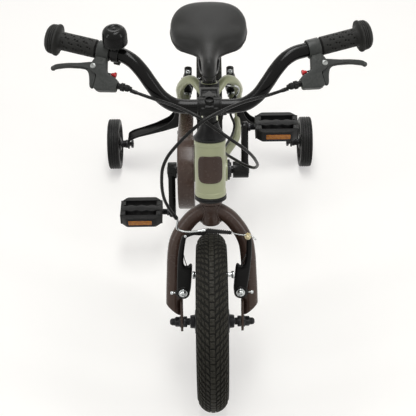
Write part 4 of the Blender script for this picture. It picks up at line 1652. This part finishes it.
# %% Pivots, springs and nuts
for name, side_name, side, up, out, body, pivot, lean in every_arm():
    steel_parts = [washer(pivot + out * 0.0063, out, 0.003, 0.0072, 0.0009),
                   bolt_head(pivot + out * 0.0074, out, 0.0058, 0.0044, 0.45)]
    spring = coil(pivot - out * 0.0128, out, 0.0086, 0.0008, 0.006, 3.0)
    wire_knots = [pivot + X * side * a + up * b - out * c
                  for a, b, c in ((-0.0086, 0.0, 0.0064), (-0.0096 + lean * 0.014, 0.014, 0.0058),
                                  (-0.007 + lean * 0.034, 0.034, 0.0056), (0.001 + lean * 0.056, 0.056, 0.0054),
                                  (0.006 + lean * 0.074, 0.074, 0.0052))]
    steel_parts += [spring, tube(smooth_path(wire_knots, 0.002), 0.0008, 8, rounded=True)]
    screw_place = pivot + X * side * 0.0105 - up * 0.002
    steel_parts += [screw(screw_place, X * side, 0.0012, 0.008, 0.0008),
                    bolt_head(screw_place + X * side * 0.0076, X * side, 0.003, 0.0034, 0.5)]
    add_piece("%s_%s_pivot_parts" % (name, side_name), steel_parts, "bright_steel", body)
    holder = plate(rounded_box(0.008, 0.007, 0.0015), pivot + X * side * 0.009 - up * 0.002, up, out,
                   X * side * 0.0042, 0.0008)
    add_piece("%s_%s_spring_holder" % (name, side_name), [holder], "black_plastic", body)
print("spring wire is 1.6 mm thick")

# %% [markdown]
# ## The cable runs
# Each casing ends in a curved metal pipe, the noodle, that turns the pull sideways. It hooks into a swinging
# link on one arm. The bare wire leaves it, runs inside a ribbed rubber boot and is clamped by a bolt at the
# top of the other arm. When the brake closes the arms come together along that line, so the link rides on one
# arm, and the wire with its boot on the other. Both brakes have these parts, so each is one function.

# %% Parts of a cable run
def noodle(name, path, start, start_way, body):
    """The bent pipe with its crimped tip, and the black ferrule that the casing ends in."""
    tip = hollow(eased(mm((-6, 0.8), (-6, 2.6), (1.6, 2.8), (3, 1.8), (3, 0.8)), 0.0004),
                path[-1], unit(path[-1] - path[-3]), 28)
    add_piece(name + "_noodle", [tube(path, 0.0018, 20), tip], "bright_steel", body)
    ferrule = sleeve(-0.005, 0.0075, 0.001, 0.0033, 0.0006, start, start_way, 32)
    add_piece(name + "_ferrule", [ferrule], "black_gloss", body)
    print("%s noodle is %.0f mm long" % (name, 1000 * run_of(path)[-1]))

def link(name, points, pin_place, out, up, body):
    """The flat strap from the arm to the noodle's tip, on a small bright pin."""
    strap = ribbon(smooth_path(points, 0.0015), rounded_box(0.006, 0.0014, 0.0005), up)
    add_piece(name + "_link", [strap], "black_gloss", body)
    add_piece(name + "_link_pin", [bolt_head(pin_place, out, 0.0025, 0.0016, 0.4)], "bright_steel", body)

def boot_and_wire(name, start, end, anchor, wire_tail, out, finish, body):
    """The ribbed boot, radius falling from 4.2 to 3.0 mm with a wave on it, the wire and its clamp bolt."""
    way = unit(end - start)
    length = float(np.linalg.norm(end - start))
    run = np.linspace(0.0, length, 97)
    radius = 0.004 - 0.0011 * run / length + 0.0006 * np.cos(2 * np.pi * run / 0.0034)
    profile = np.concatenate([[(0.0, 0.0012)], np.column_stack([run, radius]), [(length, 0.0012)]])
    add_piece(name + "_boot", [lathe(profile, start, way, 28)], "pad_rubber", body)
    path = smooth_path([end - way * 0.001, end + (anchor - end) * 0.5] + wire_tail, 0.0015)
    end_way = unit(path[-1] - path[-3])
    crimp = hollow(eased(mm((0, 0.6), (0, 1.3), (6, 1.3), (6.8, 0.6)), 0.0003),
                  path[-1] - end_way * 0.002, end_way, 20)
    add_piece(name + "_inner_wire", [tube(path, 0.0008, 10), crimp], "bright_steel", body)
    add_piece(name + "_anchor_bolt", [nut(anchor - out * 0.001, out, 0.0048, 0.0044, 0.0026),
                                      washer(anchor - out * 0.0022, out, 0.0027, 0.0058, 0.0012),
                                      bolt_head(anchor + out * 0.0034, out, 0.003, 0.002, 0.5)], finish, body)

# %% Front cable run
casing_end = np.array([-0.057, -0.261, 0.3757])
casing_way = unit(casing_end - np.array([-0.065, -0.265, 0.397]))
noodle_knots = np.concatenate([[casing_end + casing_way * 0.002, casing_end + casing_way * 0.01],
                               front_brake_point(*mm((-53, 122.2, 19.5), (-47, 118, 16.5), (-35, 114.6, 12.5),
                                               (-22, 113.8, 8.5), (-11, 114.6, 7)).T)])
noodle("front", smooth_path(noodle_knots, 0.0015), casing_end, casing_way, "fork_and_bar")
link_points = front_brake_point(*mm((-41.7, 104, 6), (-30, 108.5, 6), (-11.6, 109.8, 5.5), (-7.5, 115, 5.5)).T)
link("front", link_points, link_points[0] + STEER_FORWARD * 0.0004, STEER_FORWARD, STEER_UP,
     "front_right_brake_arm")
boot_start, boot_end, anchor = front_brake_point(*mm((-7.5, 113.7, 6), (33.1, 109.3, 6), (59.9, 102.2, 6)).T)
boot_and_wire("front", boot_start, boot_end, anchor,
              [anchor + STEER_UP * 0.002, anchor + X * 0.007 + STEER_UP * 0.0008,
               anchor + X * 0.0105 - STEER_UP * 0.003], STEER_FORWARD, "yellow_zinc", "front_left_brake_arm")

# %% [markdown]
# The rear brake faces backwards. Its noodle comes round from the left seat stay and its anchor bolt is on the
# right arm. The tops of its arms are stout round bosses with a bolt on top, which show from the front below
# the saddle.

# %% Rear cable run and bosses
REAR_NOODLE_ROUTE = mm((50, 196, 259.7), (56, 195, 270.5), (59.2, 187.5, 286.5), (57.7, 179, 299), (50.5, 169, 311),
                       (41.5, 172, 308.5), (34, 184, 302), (27.5, 198, 297.5), (21.5, 211, 295))
rear_noodle_path = smooth_path(REAR_NOODLE_ROUTE, 0.0015)
noodle("rear", rear_noodle_path, rear_noodle_path[0], unit(rear_noodle_path[2] - rear_noodle_path[0]), "frame")
link("rear", rear_brake_point(*mm((41, 100, -11.2), (34, 100, -13.5), (25, 100.5, -16.5), (19.5, 101, -18)).T),
     rear_brake_point(0.0415, 0.1, -0.011),
     -REAR_BRAKE_BACK, REAR_BRAKE_UP, "rear_left_brake_arm")
rear_start, rear_end, rear_anchor = rear_brake_point(
    *mm((18.5, 100, -18.5), (-18, 98.5, -15), (-42.5, 98.5, -12.2)).T)
boot_and_wire("rear", rear_start, rear_end, rear_anchor,
              [rear_anchor + REAR_BRAKE_UP * 0.002, rear_anchor - X * 0.0105 - REAR_BRAKE_UP * 0.001],
              -REAR_BRAKE_BACK, "bright_steel", "rear_right_brake_arm")
for name, side in SIDES.items():
    boss_place = rear_brake_point(side * 0.0425, 0.0985)
    boss = sleeve(-0.0105, 0.0095, 0.003, 0.0076, 0.0012, boss_place, REAR_BRAKE_BACK, 40)
    core = lathe(mm((-9.8, 3.6), (8.8, 3.6)), boss_place, REAR_BRAKE_BACK, 24)
    add_piece("rear_arm_boss_" + name, [boss, core], "black_satin", "rear_%s_brake_arm" % name)
    bolt_place = boss_place + REAR_BRAKE_UP * 0.0072 - REAR_BRAKE_BACK * 0.003
    add_piece("rear_boss_bolt_" + name,
              [washer(bolt_place, REAR_BRAKE_UP, 0.0022, 0.0052, 0.001),
               bolt_head(bolt_place + REAR_BRAKE_UP * 0.0009, REAR_BRAKE_UP, 0.0036, 0.0028, 0.5)],
              "bright_steel", "rear_%s_brake_arm" % name)
print("boot, wire and anchor bolt on both brakes")

# %% [markdown]
# # Cables
# Each brake cable is a steel wire in a black casing, held at both ends and stiff enough to stand in open
# loops. The right lever's cable crosses in front of the stem, loops down beside the head tube and follows the
# frame back to the rear brake. Its casing starts on the part that steers and ends on the frame, so it bends
# when the bar is turned: each of its points turns with the bar by a share that falls off along the cable.

# %% Cable casings
REAR_CABLE_ROUTE = mm((-119.5, -163, 547.2), (-89, -175, 542.2), (-49.9, -199.5, 544), (-14.2, -222, 539.1),
                      (7.7, -230, 525.7), (33.1, -228, 501.1), (51.8, -220, 477.6), (64.2, -209, 455.2),
                      (72.4, -196, 431.5), (76, -182, 409.8), (71, -165, 389.9), (56.1, -147, 381.3),
                      (42, -128, 376), (31, -108, 368), (26, -80, 350), (24, -40, 315), (23.5, 10, 268),
                      (24.5, 60, 236), (36, 105, 221), (46, 140, 213), (50, 169, 216), (43, 185, 229),
                      (44, 193, 243.7), (50, 196, 259.7))
FRONT_CABLE_ROUTE = mm((119.5, -163, 547.2), (91.4, -175, 545.2), (52.8, -200, 552), (22.5, -228, 559),
                       (-6.7, -247, 555.2), (-29, -258, 541.8), (-49, -266, 523.1), (-62.5, -270, 505.5),
                       (-70, -272, 486.8), (-72.8, -272, 465), (-73.2, -271, 443.7), (-71.2, -269, 421.1),
                       (-65, -265, 397), (-57, -261, 375.7))
CABLE_RADIUS = 0.0025

def casing(route):
    """The casing with a plastic-covered ferrule at its lever end: a tube that is thicker over 9 mm."""
    path = smooth_path(route, 0.003)
    radius = np.full(len(path), CABLE_RADIUS)
    radius[:4] = 0.0031
    return tube(path, radius, 20), path

rear_casing, rear_path = casing(REAR_CABLE_ROUTE)
rear_cable = add_piece("rear_casing", [rear_casing], "cable_jacket", None, ["rear_brake_cable"])
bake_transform(rear_cable)
front_casing, front_path = casing(FRONT_CABLE_ROUTE)
add_piece("front_casing", [front_casing], "cable_jacket", "fork_and_bar", ["front_brake_cable"])
print("casings: rear %.0f mm, front %.0f mm" % (1000 * run_of(rear_path)[-1], 1000 * run_of(front_path)[-1]))

# %% [markdown]
# The rear casing is held to the frame in two places by small steel clips: a strap of thin sheet round the
# casing whose foot is welded to the tube beside it.

# %% Cable clips
down_start = steer_point(0.0, 0.246)
down_way = unit(SHELL - down_start)

def nearest_on_down_tube(point):
    """The closest place on the down tube's surface."""
    foot = down_start + down_way * ((point - down_start) @ down_way)
    return foot + unit(point - foot) * 0.015

def clip_at(distance):
    """A strap round the casing and a foot towards the down tube."""
    index = int(np.searchsorted(run_of(rear_path), distance))
    centre = rear_path[index]
    ahead = unit(rear_path[index + 1] - rear_path[index - 1])
    reach = nearest_on_down_tube(centre) - centre
    way = unit(reach)
    strap = sleeve(-0.0035, 0.0035, 0.0026, 0.0034, 0.0003, centre, ahead, 36)
    foot = plate(rounded_box(0.007, 0.0012, 0.0004), centre + way * 0.0029, ahead, np.cross(ahead, way),
                 way * (float(np.linalg.norm(reach)) - 0.0029), 0.0003)
    return [strap, foot]

clip_parts = clip_at(0.535) + clip_at(0.61)
add_piece("cable_clips", clip_parts, "black_satin", "frame")
print("clips on the down tube:", len(clip_parts) // 2)

# %% [markdown]
# # Cranks and pedals
# The crank arms are forged steel bars, gloss black, thick and round-edged, with a big boss on the axle and a
# smaller eye for the pedal. Each is a plate with a wide rounding, cut from the outline of two circles and
# their common tangents. A steel cap covers the axle's end.

# %% Crank arms
CRANK_LENGTH = 0.0855
CRANK_ARM = leaning(62.0)[0]
CRANK_THICKNESS = 0.0138
CRANK_FACES = {"left": (0.0755, 0.045, 0.165), "right": (0.084, 0.067, 0.176)}

def two_rounds(big, small, length, count=20):
    """The outline round two circles: the tangents touch both at asin((big - small) / length) from square."""
    lean = math.degrees(math.asin((big - small) / length))
    return np.concatenate([arc((0.0, 0.0), big, 90.0 - lean, 270.0 + lean, count),
                           arc((length, 0.0), small, -90.0 + lean, 90.0 - lean, count)])

for name, side in SIDES.items():
    outer, boss, spindle = CRANK_FACES[name]
    ahead = CRANK_ARM * side
    inner_face = SHELL + X * side * (outer - CRANK_THICKNESS)
    arm = plate(two_rounds(0.015, 0.0115, CRANK_LENGTH), inner_face, ahead, np.cross(X, ahead),
                X * side * CRANK_THICKNESS, 0.0042, 6)
    boss_shape = lathe([(boss, 0.009), (boss, 0.016), (boss + 0.0006, 0.0165), (outer - 0.0012, 0.0165),
                        (outer + 0.0004, 0.0155), (outer + 0.0008, 0.0145), (outer + 0.0008, 0.009)],
                       SHELL, X * side, 64)
    cap = lathe([(outer - 0.001, 0.008), (outer + 0.0014, 0.008), (outer + 0.002, 0.007),
                 (outer + 0.0022, 0.003)], SHELL, X * side, 48)
    solids = [arm, boss_shape]
    if name == "left":
        solids.append(lathe(mm((-66.7, 6), (-66.7, 7), (-65.5, 7.5), (60, 7.5)), SHELL, X, 40))
    add_piece("crank_arm_" + name, solids, "black_gloss", "crankset", ["crank_" + name], 34.0)
    add_piece("crank_cap_" + name, [cap], "black_plastic", "crankset")
    end = SHELL + CRANK_ARM * side * CRANK_LENGTH
    collar = [(outer - 0.001, 0.003), (outer - 0.001, 0.0072), (outer + 0.0006, 0.0078), (outer + 0.004, 0.0078),
              (outer + 0.0046, 0.0066)]
    ribs_along = np.linspace(outer + 0.005, outer + 0.0112, 33)
    ribs_radius = 0.0058 + 0.0006 * np.sin(2 * np.pi * (ribs_along - outer) / 0.0021)
    tail = [(outer + 0.0118, 0.0052), (spindle - 0.001, 0.0052), (spindle, 0.0042)]
    add_piece("pedal_spindle_" + name,
              [lathe(np.concatenate([collar, np.column_stack([ribs_along, ribs_radius]), tail]), end, X * side, 40)],
              "black_steel", "crankset")
print("crank arms: %.0f mm between the axle and the pedal" % (1000 * CRANK_LENGTH))

# %% [markdown]
# ## Pedals
# A pedal is a moulded cage: two rims, one in front and one behind, joined by end walls and a waved middle
# block on the spindle. An amber reflector is let into the front and the rear rim, and a screw stands in each
# corner. The cage is plates stacked round the two slots.

# %% Pedal cage
PEDAL_WIDTH, PEDAL_DEPTH, PEDAL_HEIGHT = 0.084, 0.065, 0.024
PEDAL_START = {"left": (0.089, 0.10814, 0.255492), "right": (-0.0975, 0.02786, 0.104508)}

def pedal_side(side, start):
    """The cage's rims, end walls and middle block, each a plate seen from above."""
    clip = 0.013
    half = PEDAL_DEPTH / 2
    low = start - Z * PEDAL_HEIGHT / 2
    full = Z * PEDAL_HEIGHT
    across = X * side
    solids = []
    for row in (1.0, -1.0):
        rim = eased([(0.0, row * (half - clip)), (clip, row * (half - 0.0008)),
                     (PEDAL_WIDTH - clip, row * (half - 0.0008)),
                     (PEDAL_WIDTH, row * (half - clip)), (PEDAL_WIDTH, row * 0.0205), (0.0, row * 0.0205)],
                    [0.004, 0.004, 0.004, 0.004, 0.0005, 0.0005], 5)
        solids.append(plate(rim, low, across, Y, full, 0.0014, 4))
        for first, last in ((0.0, 0.012), (PEDAL_WIDTH - 0.01, PEDAL_WIDTH)):
            wall = eased([(first, row * 0.0085), (last, row * 0.0085), (last, row * 0.022), (first, row * 0.022)],
                         0.0006)
            solids.append(plate(wall, low + Z * 0.0006, across, Y, full - Z * 0.0012, 0.001))
    wave = np.linspace(0.0, PEDAL_WIDTH, 49)
    swell = 0.008 + 0.0014 * np.cos(2 * np.pi * wave / 0.021)
    swell[0] = swell[-1] = 0.0094
    upper = np.column_stack([wave, swell])
    middle = np.concatenate([upper, np.column_stack([wave[::-1], -swell[::-1]])])
    solids.append(plate(middle, low + Z * 0.0004, across, Y, full - Z * 0.0008, 0.0012, 4))
    return solids

for name, side in SIDES.items():
    start = np.array(PEDAL_START[name])
    cage = pedal_side(side, start)
    add_piece("pedal_cage_" + name, cage, "black_plastic", name + "_pedal", ["pedal_" + name], 36.0)
    lenses = []
    for row in (1.0, -1.0):
        face = start + X * side * 0.044 + Y * row * (PEDAL_DEPTH / 2 - 0.0012)
        lenses.append(plate(rounded_box(0.047, 0.0108, 0.002), face, X * side, Z, Y * row * 0.0011, 0.0004))
    add_piece("pedal_reflectors_" + name, lenses, "amber_lens", name + "_pedal")
    screws = [bolt_head(start + X * side * along + Y * y + Z * (PEDAL_HEIGHT / 2 - 0.0022), Z, 0.0026, 0.0018)
              for along, y in ((0.0065, 0.015), (0.0065, -0.015), (PEDAL_WIDTH - 0.0052, 0.015),
                               (PEDAL_WIDTH - 0.0052, -0.015))]
    add_piece("pedal_screws_" + name, screws, "black_steel", name + "_pedal")
print("each pedal: %.0f x %.0f x %.0f mm" % (1000 * PEDAL_WIDTH, 1000 * PEDAL_DEPTH, 1000 * PEDAL_HEIGHT))

# %% [markdown]
# # Floor and light
# The bike stands on a plain pale floor that runs out of sight. The photograph's ground is almost white, and
# lamps strong enough to make it so would bleach the bike. So the floor keeps its plain pale colour and adds a
# little of its own light only where the camera or a mirror-like surface looks at it, and the world does the
# same. The lamps are broad and soft: one over the bike, one on each side and one behind it.

# %% Floor
def looked_at_in(tree):
    """1 where the camera or a mirror-like or clear surface looks, or else 0."""
    seen = add_node(tree, "LightPath").outputs
    mirrored_ray = maths(tree, "MAXIMUM", seen["Is Glossy Ray"], seen["Is Transmission Ray"])
    return maths(tree, "MAXIMUM", seen["Is Camera Ray"], mirrored_ray)

floor_square = np.array([(-4.0, -4.0, 0.0), (4.0, -4.0, 0.0), (4.0, 4.0, 0.0), (-4.0, 4.0, 0.0)])
floor_corners, floor_faces = solid_of([floor_square - Z * 0.012, floor_square])
floor_mesh = bpy.data.meshes.new("studio_floor")
floor_mesh.from_pydata(floor_corners.tolist(), [], [face for block in floor_faces for face in block.tolist()])
studio_floor = bpy.data.objects.new("studio_floor", floor_mesh)
bpy.context.collection.objects.link(studio_floor)
floor_look = bpy.data.materials.new("pale_floor")
floor_look.use_nodes = True
tree = floor_look.node_tree
place = add_node(tree, "TexCoord").outputs["Object"]
faint = remap(tree, noise(tree, place, 3.0, 3.0), 0.3, 0.7)
FLOOR_GLOW = (0.452, 0.452 * 0.982, 0.452 * 0.985, 1.0)
fill(tree, tree.nodes["Principled BSDF"], {
    "Roughness": 0.85, "Specular IOR Level": 0.15, "Emission Strength": 1.0,
    "Base Color": blend_colours(tree, faint, (0.6, 0.596, 0.572, 1.0), (0.592, 0.588, 0.564, 1.0)),
    "Emission Color": blend_colours(tree, looked_at_in(tree), (0.0, 0.0, 0.0, 1.0), FLOOR_GLOW)})
floor_mesh.materials.append(floor_look)
print("floor: 8 m square, top at z = 0")

# %% World and lamps
world = bpy.data.worlds.new("studio_world")
bpy.context.scene.world = world
world.use_nodes = True
tree = world.node_tree
fill(tree, tree.nodes["Background"], {
    "Color": (0.991, 0.982, 0.939, 1.0),
    "Strength": maths(tree, "ADD", 0.38, times(tree, looked_at_in(tree), 0.62))})

def soft_lamp(name, place, target, width, height, watts):
    """A rectangular area lamp that points at a target."""
    data = bpy.data.lights.new(name, "AREA")
    data.shape = "RECTANGLE"
    data.size = width
    data.size_y = height
    data.energy = watts
    lamp = bpy.data.objects.new(name, data)
    away = unit(np.subtract(place, target))
    across, other = square_to(away)
    turned_to = Matrix(np.column_stack([across, other, away]).tolist()).to_4x4()
    lamp.matrix_world = Matrix.Translation(place) @ turned_to
    bpy.context.collection.objects.link(lamp)

bike_middle = (0.0, 0.0, 0.3)
soft_lamp("over_lamp", (0.0, 0.1, 2.3), bike_middle, 1.6, 0.5, 24.0)
soft_lamp("left_lamp", (2.0, -1.0, 1.3), bike_middle, 0.18, 1.9, 13.0)
soft_lamp("right_lamp", (-2.0, -0.9, 1.3), bike_middle, 0.16, 1.9, 11.0)
soft_lamp("back_lamp", (0.0, 2.3, 1.5), bike_middle, 1.6, 0.6, 8.0)
bpy.context.scene.view_settings.view_transform = "Standard"
